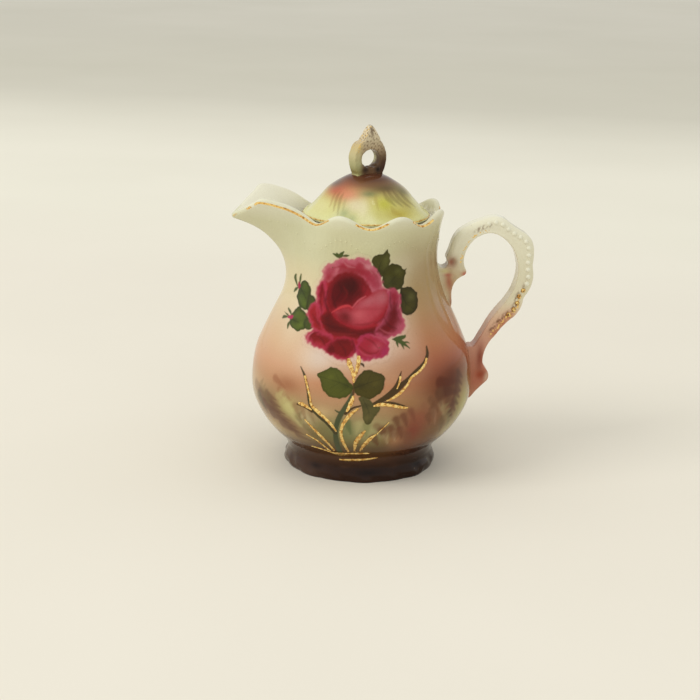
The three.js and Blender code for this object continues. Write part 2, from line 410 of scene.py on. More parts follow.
def worn_gold(name, wear):
    """Burnished gold, rubbed through in places to the brown under it: the higher wear is, the more. Its
    colour goes at random from dark to pale gold, and the pale patches are painted glints.
    """
    material, nodes, links, shader = new_material(name)
    intact = ramp(nodes, links, noise(nodes, links, 1500, 3), [(wear, 0.0), (wear + 0.1, 1.0)])
    # Painted glints: the gold's colour wanders at random, up to pale patches that stand for reflections.
    gold = [(0.34, (176, 124, 60)), (0.45, (228, 176, 96)), (0.6, (255, 224, 144))]
    tone = ramp(nodes, links, noise(nodes, links, 860, 3), gold)
    links.new(mix(nodes, links, "MIX", intact, (84, 56, 30), tone), shader.inputs["Base Color"])
    links.new(ramp(nodes, links, intact, [(0.0, 0.0), (1.0, 0.85)]), shader.inputs["Metallic"])
    shader.inputs["Roughness"].default_value = 0.24
    add_bump(nodes, links, shader, 1100, 3, 0.35, 0.0002)
    return material


def gilded_glaze(name, speckle=0.5):
    """Painted glaze with flecks of gold, as thick as the piece's own gilt values say."""
    material = painted_glaze(name, speckle)
    nodes, links = material.node_tree.nodes, material.node_tree.links
    shader = nodes["Principled BSDF"]
    painted = shader.inputs["Base Color"].links[0].from_socket
    gilt = nodes.new("ShaderNodeAttribute")
    gilt.attribute_name = "gilt"
    fleck = nodes.new("ShaderNodeMath")
    fleck.operation = "ADD"
    links.new(gilt.outputs["Fac"], fleck.inputs[0])
    links.new(noise(nodes, links, 1300, 3), fleck.inputs[1])
    gold = ramp(nodes, links, fleck.outputs["Value"], [(0.95, 0.0), (1.0, 1.0)])
    links.new(mix(nodes, links, "MIX", gold, painted, (238, 200, 122)), shader.inputs["Base Color"])
    links.new(ramp(nodes, links, gold, [(0.0, 0.0), (1.0, 0.8)]), shader.inputs["Metallic"])
    return material


def gild_points(piece, amount):
    """Stores how much gold each vertex carries, 0 to 1."""
    attribute = piece.data.attributes.new("gilt", "FLOAT", "POINT")
    attribute.data.foreach_set("value", np.clip(amount, 0, 1).astype(float))


# ---------------------------------------------------------------- jug body


# Ground colour up the jug: on the spout side of the rose, under it, and on the handle side of it.
GROUND_SPOUT_SIDE = [
    (0, (80, 60, 50)), (6, (68, 46, 35)), (11, (72, 49, 35)), (15, (104, 78, 54)), (20, (162, 138, 98)),
    (26, (152, 120, 86)), (32, (142, 114, 80)), (38, (168, 138, 98)), (44, (190, 144, 108)),
    (50, (207, 160, 126)), (58, (214, 178, 142)), (66, (217, 192, 158)), (74, (222, 206, 170)),
    (84, (216, 204, 166)), (94, (210, 208, 173)), (106, (214, 214, 180)), (113, (230, 230, 206)),
]
GROUND_UNDER_ROSE = [
    (0, (52, 31, 21)), (6, (46, 27, 18)), (10, (80, 52, 35)), (14, (94, 66, 41)), (18, (100, 80, 50)),
    (22, (130, 112, 70)), (28, (162, 152, 106)), (34, (168, 140, 100)), (40, (184, 142, 106)),
    (46, (192, 136, 100)), (52, (199, 158, 126)), (58, (218, 186, 160)), (66, (222, 194, 170)),
    (76, (224, 206, 182)), (88, (212, 203, 165)), (98, (206, 203, 163)), (106, (214, 212, 175)),
    (113, (232, 232, 208)),
]
GROUND_HANDLE_SIDE = [
    (0, (45, 26, 16)), (6, (44, 26, 17)), (10, (58, 35, 22)), (14, (72, 43, 26)), (18, (112, 76, 50)),
    (24, (120, 90, 58)), (30, (124, 88, 58)), (36, (136, 96, 66)), (42, (124, 74, 48)),
    (48, (136, 76, 52)), (54, (165, 98, 70)), (60, (180, 120, 84)), (66, (180, 131, 94)),
    (74, (176, 142, 102)), (82, (170, 144, 102)), (90, (170, 148, 110)), (98, (182, 170, 132)),
    (106, (204, 199, 162)), (113, (228, 226, 202)),
]
# Airbrushed clouds: bearing, height, half width in degrees, half height, colour, strength.
CLOUDS = [
    (-70, 40, 12, 5, (196, 160, 122), 0.6), (-20, 14, 12, 4, (88, 62, 42), 0.7),
    (22, 38, 9, 4, (156, 116, 72), 0.6), (42, 12, 14, 4, (58, 33, 22), 0.6),
    (-18, 21, 8, 3, (116, 98, 60), 0.6), (-80, 24, 11, 12, (236, 226, 198), 0.7),
    (-36, 5, 6, 1.3, (24, 12, 8), 0.8), (7, 4.2, 10, 1.3, (22, 11, 6), 0.85),
    (50, 5, 6, 1.3, (20, 10, 6), 0.85), (-12, 6.4, 4, 0.9, (74, 48, 34), 0.5),
    (28, 6.4, 5, 0.9, (72, 46, 32), 0.5), (22, 54, 12, 6, (176, 122, 88), 0.7),
    (-38, 12, 12, 4, (80, 54, 38), 0.6), (-20, 28, 5, 3, (140, 124, 80), 0.6),
    (-56, 32, 8, 5, (104, 72, 48), 0.7), (-39, 33.4, 6.5, 4, (192, 184, 120), 0.75),
    (-30, 30, 5.5, 4, (200, 186, 144), 0.7), (-41, 43, 8, 3.5, (158, 102, 70), 0.75),
    (-42, 24, 7, 4, (128, 92, 60), 0.6), (-20, 34.5, 6, 2.5, (204, 176, 130), 0.7),
    (-18, 25, 9, 5, (120, 112, 70), 0.7), (-8, 26, 8, 6, (122, 130, 86), 0.75),
    (4, 27, 7, 5, (174, 168, 118), 0.7), (28, 26, 10, 8, (128, 56, 42), 0.9),
    (30, 32, 9, 4, (146, 80, 60), 0.6), (20, 22, 5, 4, (174, 124, 88), 0.6),
    (55, 45, 11, 6, (90, 38, 22), 0.92), (49, 41, 7, 4, (84, 44, 26), 0.8),
    (68, 30, 9, 10, (180, 174, 108), 0.9), (60, 21, 8, 4, (190, 176, 128), 0.8),
    (-30, 56, 10, 6, (224, 198, 170), 0.7), (-24, 56, 8, 5, (216, 200, 186), 0.7),
    (-60, 21, 9, 4, (198, 174, 128), 0.7), (-48, 70, 9, 12, (226, 210, 184), 0.5),
    (-8, 60, 22, 5, (226, 204, 192), 0.6), (30, 92, 14, 6, (206, 196, 168), 0.5),
    (92, 40, 12, 12, (192, 150, 108), 0.6),
]
# Feathered brush strokes: from and to as bearing and height, width in mm, colour, strength.
FEATHERS = [
    ((-70, 37), (-58, 35.8), 3.2, (116, 84, 58), 0.45), ((-64, 34.4), (-52, 33.2), 3, (100, 66, 48), 0.6),
    ((-60, 31), (-47, 29.4), 3, (98, 62, 46), 0.65), ((-54, 27.6), (-42, 26), 2.8, (98, 64, 48), 0.65),
    ((-48, 24), (-37, 22.2), 2.4, (104, 70, 52), 0.6), ((-66, 33), (-60, 27), 3, (78, 76, 52), 0.5),
    ((-50, 44), (-42, 41.4), 1.8, (150, 96, 66), 0.6), ((-46, 40), (-38, 37), 1.6, (150, 104, 70), 0.5),
    ((-35, 35), (-32, 29), 1.5, (138, 100, 70), 0.55),
    ((-31, 34.4), (-28.6, 28.6), 1.3, (140, 104, 72), 0.55),
    ((-26, 33), (-24, 28), 1.2, (128, 100, 66), 0.4), ((-44, 39), (-36, 31), 2, (204, 198, 140), 0.2),
    ((-40, 34), (-33, 25.6), 2, (200, 190, 140), 0.25), ((-7, 31), (-5, 25), 1.8, (92, 104, 62), 0.7),
    ((-1, 30.6), (-2.6, 25), 1.4, (190, 182, 130), 0.4), ((3, 30), (3, 24), 1.6, (132, 134, 84), 0.6),
    ((7, 23.6), (10.4, 19.4), 2.2, (100, 64, 40), 0.75),
    ((11, 27.4), (14.4, 21.4), 1.7, (104, 66, 42), 0.8),
    ((15.4, 28.6), (18.6, 22.6), 1.6, (112, 70, 48), 0.8),
    ((17.6, 32.4), (20.6, 26.4), 1.5, (108, 68, 46), 0.8),
    ((21.4, 33.6), (24.6, 28), 1.5, (114, 70, 50), 0.8),
    ((25.4, 35.4), (28.6, 30.2), 1.4, (124, 72, 54), 0.7),
    ((20.4, 27.6), (23.6, 22.2), 1.5, (116, 66, 48), 0.7),
    ((13, 24.6), (16, 19.8), 1.2, (196, 176, 132), 0.4),
    ((17.4, 26), (20, 20.8), 1.1, (190, 164, 126), 0.4), ((44, 45), (60, 43), 3.2, (88, 38, 22), 0.75),
    ((47, 40.6), (61, 38.4), 3, (86, 44, 28), 0.75), ((50, 36), (60, 33), 2.6, (96, 60, 38), 0.65),
    ((42, 41), (46, 33), 1.8, (94, 58, 38), 0.7), ((37, 39), (41, 31.6), 1.6, (112, 74, 50), 0.6),
    ((33, 37), (36.4, 30.6), 1.4, (140, 92, 66), 0.45), ((44, 36), (49, 28), 1.3, (160, 132, 98), 0.5),
    ((39, 34), (43, 26.6), 1.3, (160, 122, 92), 0.5), ((52, 31), (57, 23), 1.8, (98, 88, 50), 0.6),
    ((47, 29), (52.6, 20), 1.7, (104, 82, 50), 0.55), ((57, 36), (64, 25), 1.4, (140, 132, 80), 0.5),
]
# Serrated edges of the feathers: where a row of barbs starts and ends, one barb as bearing and height,
# how many, colour, strength.
BARBS = [
    ((-57, 36.4), (-39, 20.4), (8.5, -1.4), 7, (102, 68, 50), 0.6),
    ((-64, 38), (-56, 33), (3, 3.6), 4, (122, 104, 68), 0.35),
    ((-47, 37), (-34, 27), (3.2, 2.6), 6, (200, 194, 130), 0.28),
    ((60, 46.6), (52, 31), (5, -3.4), 7, (84, 44, 28), 0.7),
    ((44, 42), (36, 32), (2.6, -4.6), 5, (104, 66, 44), 0.5),
    ((8, 29.6), (27, 24), (2.8, -4.4), 7, (118, 76, 52), 0.5),
    ((46, 34), (58, 22), (4, 1), 6, (156, 148, 100), 0.3),
    ((-34, 30), (-26, 22), (2.6, 3), 5, (112, 98, 58), 0.45),
]
BARB_WIDTH = 1.6
BELLY_DEGREE = 0.76  # mm of the belly in a degree of bearing


def blend_bands(bands, height):
    knots = [band[0] for band in bands]
    channels = np.array([linear(band[1]) for band in bands])
    return np.stack([np.interp(height, knots, channels[:, c]) for c in range(3)], -1)


def barb_strokes():
    """Every barb of every serrated edge, as a brush stroke."""
    strokes = []
    for start, end, barb, count, colour, strength in BARBS:
        for part in np.linspace(0, 1, count):
            root = (start[0] + (end[0] - start[0]) * part, start[1] + (end[1] - start[1]) * part)
            tip = (root[0] + barb[0], root[1] + barb[1])
            strokes.append((root, tip, BARB_WIDTH, colour, strength))
    return strokes


def cloud(rgb, bearing, height, at, middle, half_width, half_height, colour, strength):
    around = (bearing - at + 180) % 360 - 180
    distance = (around / half_width) ** 2 + ((height - middle) / half_height) ** 2
    cover = (strength * np.exp(-distance))[:, None]
    return rgb * (1 - cover) + linear(colour) * cover


def feather(rgb, bearing, height, start, end, width, colour, strength):
    """One tapering airbrush stroke, broad and soft where it starts and sharp where it ends."""
    way = np.array([(end[0] - start[0]) * BELLY_DEGREE, end[1] - start[1]])
    dx, dz = (bearing - start[0]) * BELLY_DEGREE, height - start[1]
    along = (dx * way[0] + dz * way[1]) / (way @ way)
    t = np.clip(along, 0, 1)
    gap = np.hypot(dx - t * way[0], dz - t * way[1])
    half = width / 2 * (1.25 - 1.1 * t)
    soft = 1.3 - 0.9 * t
    cover = (strength * (1 - step(half - 0.2, half + soft, gap)))[:, None]
    return rgb * (1 - cover) + linear(colour) * cover


def fold_back(bearing):
    """Bearings on the back turned to the front, so that the back mirrors it."""
    return np.where(np.abs(bearing) > 90, np.sign(bearing) * (180 - np.abs(bearing)), bearing)


def airbrush(rgb, bearing, height, clouds, strokes):
    for patch in clouds:
        rgb = cloud(rgb, bearing, height, *patch)
    for stroke in strokes:
        rgb = feather(rgb, bearing, height, *stroke)
    return rgb


def ground_colour(bearing, height):
    """The airbrushed ground of the jug."""
    folded = fold_back(bearing)
    rgb = blend_bands(GROUND_UNDER_ROSE, height)
    spout_side, handle_side = step(14, 46, -folded), step(12, 44, folded)
    for bands, share in ((GROUND_SPOUT_SIDE, spout_side), (GROUND_HANDLE_SIDE, handle_side)):
        rgb = rgb * (1 - share[:, None]) + blend_bands(bands, height) * share[:, None]
    return airbrush(rgb, folded, height, CLOUDS, FEATHERS + barb_strokes())


def jug_body():
    outside = np.concatenate([
        np.arange(0, 12, 0.8), np.arange(12, 52, 0.64), np.arange(52, SHOULDER_HEIGHT, 1.2),
        np.linspace(SHOULDER_HEIGHT, RIM_LEVEL, 46),
    ])
    lip = np.radians(np.arange(20, 180, 20))
    inside = np.concatenate([np.linspace(RIM_LEVEL, 76, 26), np.arange(72, 14, -4.0)])
    level = np.concatenate([[0] * 3, outside, lip * 0 + RIM_LEVEL, inside, [0] * 2])
    depth = np.concatenate([
        [0] * 3, outside * 0, WALL / 2 * (1 - np.cos(lip)), inside * 0 + WALL, [0] * 2,
    ])
    above = np.concatenate([[0] * 3, outside * 0, WALL / 2 * np.sin(lip), inside * 0, [0] * 2])
    under = [(0, FOOT_RECESS), (FOOT_RING_INNER, FOOT_RECESS), (FOOT_RING_INNER + FOOT_RECESS, 0)]
    floor = [(FOOT_RING_INNER, FLOOR_HEIGHT), (0, FLOOR_HEIGHT)]

    def place(u, v):
        even = 2 * math.pi * u
        theta = math.pi + even - 0.3 * np.sin(even)
        row = np.rint(v * (len(level) - 1)).astype(int)
        r, z = wall_point(from_spout(theta), level[row], depth[row], above[row])
        for index, (radius, height) in enumerate(under):
            r, z = np.where(row == index, radius, r), np.where(row == index, height, z)
        for index, (radius, height) in enumerate(floor, len(level) - len(floor)):
            r, z = np.where(row == index, radius, r), np.where(row == index, height, z)
        return r * np.cos(theta), r * np.sin(theta), z

    body = sheet_of("porcelain_jug_body", place, 448, len(level) - 1)
    tidy_mesh(body)
    points = about_axis(body)
    rgb = ground_colour(bearing_of(points), points[:, 2])
    radius = np.hypot(points[:, 0], points[:, 1])
    away = from_spout(np.arctan2(points[:, 1], points[:, 0]))
    hidden = radius < smooth(BODY_OUTLINE, np.minimum(points[:, 2], RIM_LEVEL)) - 0.6 * WALL
    in_spout = (away < SPOUT_END) & (points[:, 2] > 80)
    normal = np.empty(len(body.data.vertices) * 3)
    body.data.vertices.foreach_get("normal", normal)
    inward = (normal.reshape(-1, 3)[:, :2] * points[:, :2]).sum(1) < 0
    white = (hidden | (in_spout & inward))[:, None]
    rgb = np.where(white, linear((240, 238, 218)), rgb)
    colour_points(body, rgb)
    return keep(body, "jug", painted_glaze("glaze_jug_ground"), replaces=("jug_body",))


# ---------------------------------------------------------------- handle

HANDLE_OUTER = [
    (34.2, 90.4), (35.2, 93), (36.6, 97.4), (38.4, 100.6), (41.6, 103.2), (46.5, 105.7), (50.7, 107.3),
    (54.7, 108), (58.1, 107), (61.5, 104.4), (65, 102.2), (68, 100.3), (70.2, 97.8), (71.2, 94.3),
    (71.3, 90.2), (71, 87.6), (71.4, 84.4), (71.5, 81.6), (71, 78.8), (69.8, 76), (67.9, 73),
    (67.5, 70.7), (66.4, 67.9), (64.3, 65.1), (61.7, 63), (59, 60.2), (56.5, 56.8), (54.3, 54.1),
    (52.6, 50.8), (51.8, 48), (51.5, 45), (52.3, 42.9), (54, 40.4), (54.4, 38.6), (53.8, 36.7),
    (51.5, 34.4), (49, 31.7), (46.2, 28.6),
]
HANDLE_INNER = [
    (43, 30), (43, 49), (45.6, 51.6), (46.9, 51.6), (48.1, 53), (49.2, 55), (51.4, 59), (53.8, 63.4),
    (56.8, 67.6), (59.9, 71.4), (62.6, 75.8), (64.3, 80.7), (64.8, 85.2), (64, 90), (62, 94.6),
    (58.6, 98.4), (55.1, 100.5), (52.1, 101), (49.1, 100.3), (45.8, 98.4), (43.2, 95), (41.8, 91.4),
    (41.6, 88), (42.2, 86), (42.9, 84.3), (42.1, 82.9), (40.5, 82.1), (38.6, 80.4), (37.4, 78.3),
    (36.9, 75.5), (37, 72.7), (37, 69.5), (36, 66), (33.4, 66.6), (30.6, 76), (29, 86), (30.4, 88.2),
    (31.2, 86.6), (32.4, 85.8), (33.8, 86), (34.8, 87), (34.9, 88.2), (34.2, 89.4),
]
HANDLE_HALF = 4.4
# Soft patches on the handle: middle, half size, colour, strength, tilt in degrees.
HANDLE_SPOTS = [
    ((37, 79), (6, 9), (198, 172, 130), 0.9, 0),
    ((36.3, 88.4), (2.1, 2.4), (150, 94, 72), 0.95, 0),
    ((35.6, 80), (1.6, 4.6), (172, 94, 70), 0.8, 10),
    ((35, 83), (1.6, 0.7), (176, 88, 72), 0.7, 0),
    ((33.6, 84.6), (2.2, 0.9), (206, 196, 140), 0.8, 0),
    ((42.2, 83.4), (1.4, 1.2), (188, 90, 66), 0.95, 0),
    ((37.2, 72), (1.2, 3.2), (164, 84, 62), 0.8, 0),
    ((50.2, 47), (1.6, 6), (136, 62, 44), 0.85, 0),
    ((50.6, 39.2), (2.3, 2.2), (158, 74, 48), 0.95, 0),
    ((53.4, 38.4), (0.9, 2.4), (214, 184, 160), 0.85, -15),
    ((56.2, 58), (1.9, 2.6), (184, 112, 78), 0.85, -40),
    ((59, 62), (1.9, 2.6), (184, 112, 78), 0.85, -40),
    ((61.8, 65.6), (1.9, 2.6), (184, 112, 78), 0.85, -40),
]
HANDLE_BANDS = [
    (28, (190, 140, 112)), (36, (186, 118, 92)), (44, (190, 128, 104)), (54, (208, 158, 134)),
    (64, (224, 188, 158)), (72, (228, 220, 190)), (84, (226, 222, 194)), (110, (238, 236, 214)),
]


def slab(name, outline, half):
    """A flat outline in the upright plane through the spout and handle, given thickness."""
    deselect()
    bpy.ops.mesh.primitive_circle_add(vertices=len(outline), fill_type="NGON", radius=1)
    piece = bpy.context.object
    piece.name = name
    points = np.stack([outline[:, 0] * MM + AXIS_X, 0 * outline[:, 0] - half * MM, outline[:, 1] * MM], -1)
    move_points(piece, points)
    bpy.ops.object.mode_set(mode="EDIT")
    bpy.ops.mesh.select_all(action="SELECT")
    bpy.ops.mesh.extrude_region_move(TRANSFORM_OT_translate={"value": (0, 2 * half * MM, 0)})
    bpy.ops.mesh.select_all(action="SELECT")
    bpy.ops.mesh.normals_make_consistent(inside=False)
    bpy.ops.object.mode_set(mode="OBJECT")
    return piece


def join(pieces, name):
    deselect()
    for piece in pieces:
        piece.select_set(True)
    bpy.context.view_layer.objects.active = pieces[0]
    bpy.ops.object.join()
    bpy.ops.object.transform_apply(location=True, rotation=True, scale=True)
    pieces[0].name = name
    return pieces[0]


def open_path(points, per):
    """A rounded open path through the points."""
    p = np.array(points, float)
    knots = np.linspace(0, 1, len(p))
    fine = np.linspace(0, 1, per * len(p))
    return np.stack([smooth(list(zip(knots, p[:, i])), fine) for i in range(p.shape[1])], -1)


def jug_handle():
    handle = slab("porcelain_handle", rounded(HANDLE_OUTER + HANDLE_INNER, 4), HANDLE_HALF)
    apply(handle, "REMESH", mode="VOXEL", voxel_size=0.4 * MM, use_smooth_shade=True)
    points = about_axis(handle)
    x, z = points[:, 0], points[:, 2]
    edge, _ = line_distance(x, z, open_path(HANDLE_OUTER, 8))
    inner, _ = line_distance(x, z, open_path(HANDLE_INNER[2:33], 8))
    lower = step(60, 72, z)
    chamfer = 0.7 + 0.3 * step(-0.4, 1.9, edge)
    groove = 1 - 0.05 * np.exp(-(((inner - 1.5) / 0.5) ** 2)) * lower
    points[:, 1] *= (1 + (chamfer - 1) * (0.35 + 0.65 * lower)) * groove
    for at_x, at_z, reach, depth in ((36.6, 88.4, 1.7, 0.9), (35.2, 84.4, 1.2, 0.4), (51, 38.8, 2.4, 0.6),
                                     (37.4, 82, 0.8, 0.35), (40.4, 84.6, 0.9, -0.3)):
        dip = depth * np.exp(-((np.hypot(x - at_x, z - at_z) / reach) ** 4))
        points[:, 1] -= np.sign(points[:, 1]) * dip * step(1.5, 3, np.abs(points[:, 1]))
    points[:, 0] += AXIS_X / MM
    move_points(handle, points * MM)
    apply(handle, "SMOOTH", factor=0.5, iterations=9)
    colour_points(handle, handle_colour(about_axis(handle), edge))
    gild_points(handle, handle_gilt(about_axis(handle), edge, inner))
    return keep(handle, "jug", gilded_glaze("glaze_handle"), replaces=("jug_handle",))


def spot_colours(rgb, x, z, spots):
    """Soft patches of colour on a flat face."""
    for middle, half, colour, strength, tilt in spots:
        turn = math.radians(tilt)
        across = (x - middle[0]) * math.cos(turn) + (z - middle[1]) * math.sin(turn)
        up = (z - middle[1]) * math.cos(turn) - (x - middle[0]) * math.sin(turn)
        cover = (strength * np.exp(-((across / half[0]) ** 2) - (up / half[1]) ** 2))[:, None]
        rgb = rgb * (1 - cover) + linear(colour) * cover
    return rgb


def handle_colour(points, edge):
    x, z = points[:, 0], points[:, 2]
    rgb = spot_colours(blend_bands(HANDLE_BANDS, z), x, z, HANDLE_SPOTS)
    grain = 0.5 + 0.5 * mottle(points, 1.3, 31)
    band = np.exp(-(((edge - 3.1) / 0.9) ** 2)) * step(2.4, 3.6, np.abs(points[:, 1]))
    upper = band * step(0.35, 0.75, grain) * step(44, 47, x) * (1 - step(51, 54, x)) * step(88, 97, z)
    lower = band * step(0.3, 0.7, grain) * (1 - step(72, 86, z)) * step(56, 60, z)
    brown = np.maximum(0.8 * upper, lower)[:, None]
    return rgb * (1 - brown) + linear((112, 74, 44)) * brown


def handle_gilt(points, edge, inner):
    """Gold rubbed thin: a speckled band inside the top of the loop, another down its lower outside."""
    x, z = points[:, 0], points[:, 2]
    side = step(2.6, 3.8, np.abs(points[:, 1]))
    upper = np.exp(-(((inner - 1.2) / 1.1) ** 2)) * (x < 52) * (z > 88)
    lower = np.exp(-(((edge - 1.8) / 1.5) ** 2)) * (1 - step(74, 80, z)) * step(52, 58, z)
    return 0.44 * side * np.maximum(upper, lower)


# ---------------------------------------------------------------- painted transfers

TRANSFER_CELL = 0.25  # size of the sheet's faces
TRANSFER_LIFT = 0.06  # above the body's glaze


def rounded(points, per=6):
    """A closed outline through the points, rounded."""
    p = np.array(points, float)
    t = np.linspace(0, 1, per, endpoint=False)[:, None]
    before, after, next_after = np.roll(p, 1, 0), np.roll(p, -1, 0), np.roll(p, -2, 0)
    curves = []
    for a, b, c, d in zip(before, p, after, next_after):
        curves.append(b + 0.5 * t * (c - a + t * (2 * a - 5 * b + 4 * c - d + t * (3 * (b - c) + d - a))))
    return np.concatenate(curves)


def line_distance(x, z, points):
    """Distance from each spot to a chain of points, and how far along the chain the nearest place is."""
    best, along = np.full(x.shape, 1e9), np.zeros(x.shape)
    for i, (a, b) in enumerate(zip(points[:-1], points[1:])):
        way = b - a
        t = np.clip(((x - a[0]) * way[0] + (z - a[1]) * way[1]) / max(way @ way, 1e-12), 0, 1)
        gap = np.hypot(x - a[0] - t * way[0], z - a[1] - t * way[1])
        nearer = gap < best
        best[nearer], along[nearer] = gap[nearer], (i + t[nearer]) / (len(points) - 1)
    return best, along


def depth_inside(x, z, outline):
    """Distance inside a closed outline, negative outside."""
    ring = np.concatenate([outline, outline[:1]])
    gap, _ = line_distance(x, z, ring)
    inside = np.zeros(x.shape, bool)
    for (x0, z0), (x1, z1) in zip(ring[:-1], ring[1:]):
        crosses = (z0 > z) != (z1 > z)
        inside ^= crosses & (x < (x1 - x0) * (z - z0) / (z1 - z0 + 1e-12) + x0)
    return np.where(inside, gap, -gap)


class Canvas:
    """A sheet of paint: spots seen from the front, each with a colour and how far it is covered."""

    def __init__(self, x, z, rgb):
        self.x, self.z, self.rgb, self.cover = x, z, rgb, np.zeros(x.shape)
        self.ragged = mottle(np.stack([x, z, 0 * x], -1), 2.2, 5)

    def lay(self, where, colour, cover):
        self.rgb[where] += (colour - self.rgb[where]) * cover[:, None]
        self.cover[where] = np.maximum(self.cover[where], cover)

    def near(self, outline, margin):
        low, high = outline.min(0) - margin, outline.max(0) + margin
        return (self.x > low[0]) & (self.x < high[0]) & (self.z > low[1]) & (self.z < high[1])

    def shape(self, points, edge, middle, depth=3.0, soft=0.35, ragged=0.15, strength=1.0):
        """A filled outline that goes from one colour at its edge to another depth inside it."""
        outline = rounded(points)
        where = self.near(outline, 1.5)
        inside = depth_inside(self.x[where], self.z[where], outline) + ragged * self.ragged[where]
        tone = step(0, depth, inside)[:, None]
        colour = linear(edge) * (1 - tone) + linear(middle) * tone
        self.lay(where, colour, strength * step(-soft, soft, inside))

    def glow(self, x, z, half_x, half_z, tilt, colour, strength, within=None):
        """A soft patch, kept inside an outline when one is given."""
        turn = math.radians(tilt)
        across = (self.x - x) * math.cos(turn) + (self.z - z) * math.sin(turn)
        up = (self.z - z) * math.cos(turn) - (self.x - x) * math.sin(turn)
        cover = strength * np.exp(-((across / half_x) ** 2) - (up / half_z) ** 2)
        if within is not None:
            outline = rounded(within)
            where = self.near(outline, 1)
            keep_in = np.zeros(self.x.shape)
            keep_in[where] = step(-0.3, 0.3, depth_inside(self.x[where], self.z[where], outline))
            cover *= keep_in
        where = cover > 0.004
        self.rgb[where] += (linear(colour) - self.rgb[where]) * cover[where, None]

    def line(self, points, colour, soft=0.15, strength=1.0):
        """A brush line through (x, z, width) points."""
        path = open_path(points, 6)
        where = self.near(path[:, :2], 2 + max(point[2] for point in points))
        gap, along = line_distance(self.x[where], self.z[where], path[:, :2])
        half = np.interp(along, np.linspace(0, 1, len(path)), path[:, 2]) / 2
        self.lay(where, linear(colour), strength * step(-soft, soft, half - gap))


def delete_points(piece, unwanted):
    only(piece)
    bpy.ops.object.mode_set(mode="EDIT")
    bpy.ops.mesh.select_all(action="DESELECT")
    bpy.ops.object.mode_set(mode="OBJECT")
    piece.data.vertices.foreach_set("select", unwanted)
    bpy.ops.object.mode_set(mode="EDIT")
    bpy.ops.mesh.delete(type="VERT")
    bpy.ops.object.mode_set(mode="OBJECT")


def transfer(name, bearings, heights, paint):
    """A fired print: a thin sheet over the body's glaze, trimmed to where paint(canvas) covers it."""
    (left, right), (bottom, top) = bearings, heights
    columns, rows = int(0.75 * (right - left) / TRANSFER_CELL), int((top - bottom) / TRANSFER_CELL)

    def place(u, v):
        return over_glaze(left + (right - left) * u, bottom + (top - bottom) * v, TRANSFER_LIFT)

    sheet = sheet_of(name, place, columns, rows)
    points = about_axis(sheet)
    bearing = bearing_of(points)
    x = np.hypot(points[:, 0], points[:, 1]) * np.sin(np.radians(bearing))
    z = points[:, 2]
    sag = np.interp(z, (56, 70, 76, 84), (0, 0.0085, 0.008, 0.0062))
    droop = sag * np.minimum(np.abs(x + 3), 20) ** 2  # the print bends down at its sides
    canvas = Canvas(x, z + droop, ground_colour(bearing, z))
    paint(canvas)
    colour_points(sheet, canvas.rgb)
    delete_points(sheet, canvas.cover < 0.01)
    bpy.ops.object.mode_set(mode="EDIT")
    bpy.ops.mesh.select_all(action="SELECT")
    bpy.ops.mesh.normals_make_consistent(inside=False)
    bpy.ops.object.mode_set(mode="OBJECT")
    outward = np.array([math.sin(-math.radians(FRONT_TURN)), -math.cos(math.radians(FRONT_TURN)), 0])
    normal = np.empty(len(sheet.data.polygons) * 3)
    sheet.data.polygons.foreach_get("normal", normal)
    if (normal.reshape(-1, 3) @ outward).mean() < 0:
        bpy.ops.object.mode_set(mode="EDIT")
        bpy.ops.mesh.flip_normals()
        bpy.ops.object.mode_set(mode="OBJECT")
    return keep(sheet, "jug", painted_glaze("glaze_" + name, speckle=0.8))


ROSE = [
    (-17, 89.5), (-15.5, 92), (-12.5, 93), (-11, 94.5), (-8, 95.3), (-5, 94.4), (-3.3, 95.7), (0.5, 95.2),
    (2.4, 93.6), (4.6, 91), (6.5, 88.3), (7.6, 84.2), (10, 83.6), (12.5, 84), (14.4, 82), (14.7, 77),
    (16.2, 73.7), (16.8, 71.3), (15, 68), (12, 66), (10, 65), (10.4, 62.5), (10, 59.3), (7.6, 57.4),
    (4.6, 57.3), (1.2, 56.2), (-1.8, 57.6), (-3.6, 59), (-5, 56.8), (-7.7, 56), (-11, 56.7), (-14, 58),
    (-16, 59.4), (-18.6, 60), (-21.2, 61.6), (-22.6, 61.8), (-23.3, 64.6), (-22, 66.8), (-20.3, 67.6),
    (-21.6, 71), (-23, 75.2), (-21, 77.8), (-19.2, 79), (-19.4, 82.4), (-18.2, 85.3), (-16.6, 87),
]
ROSE_BACK = [
    (-15, 86), (-12.6, 89.5), (-11.4, 94.3), (-8, 95.2), (-5.2, 94.3), (-3.3, 95.6), (0.5, 95.1),
    (2.4, 93.5), (4.6, 91), (6.4, 88.3), (7.5, 84), (4.6, 82), (2, 83), (-3, 87), (-8, 88.5), (-12, 86),
]
ROSE_TOP_LEFT = [
    (-17, 89.5), (-15.4, 92), (-12.6, 92.9), (-10.9, 91), (-11.2, 88.6), (-13.6, 86.2), (-16, 86.2),
]
ROSE_LEFT = [
    (-23, 75), (-21, 77.7), (-19, 77), (-18, 72), (-16, 67.5), (-14, 65.4), (-18, 66), (-20.2, 67.8),
    (-21.6, 71),
]
ROSE_LEFT_BACK = [
    (-19.4, 79), (-19.4, 82.4), (-18.2, 85.3), (-16.4, 86), (-15, 82), (-15.4, 77), (-17, 73),
    (-18.8, 76),
]
ROSE_BOWL = [
    (-14.6, 84), (-11.5, 88), (-6.5, 89.4), (-1.5, 88), (1.8, 84.6), (2.6, 81.8), (0.5, 80), (-2, 78),
    (-4.6, 75.8), (-8, 75.8), (-12.6, 74), (-15, 77),
]
ROSE_CUP = [
    (-13, 74), (-10.7, 75.5), (-6.8, 76.4), (-4.6, 75.8), (-2, 78.4), (1, 80), (4.6, 82.6), (8, 83.4),
    (9.5, 81.8), (9.5, 78.3), (8.4, 74.7), (5.4, 71.3), (1.6, 68.8), (-3, 68), (-7.4, 69.3),
    (-10.6, 71.2),
]
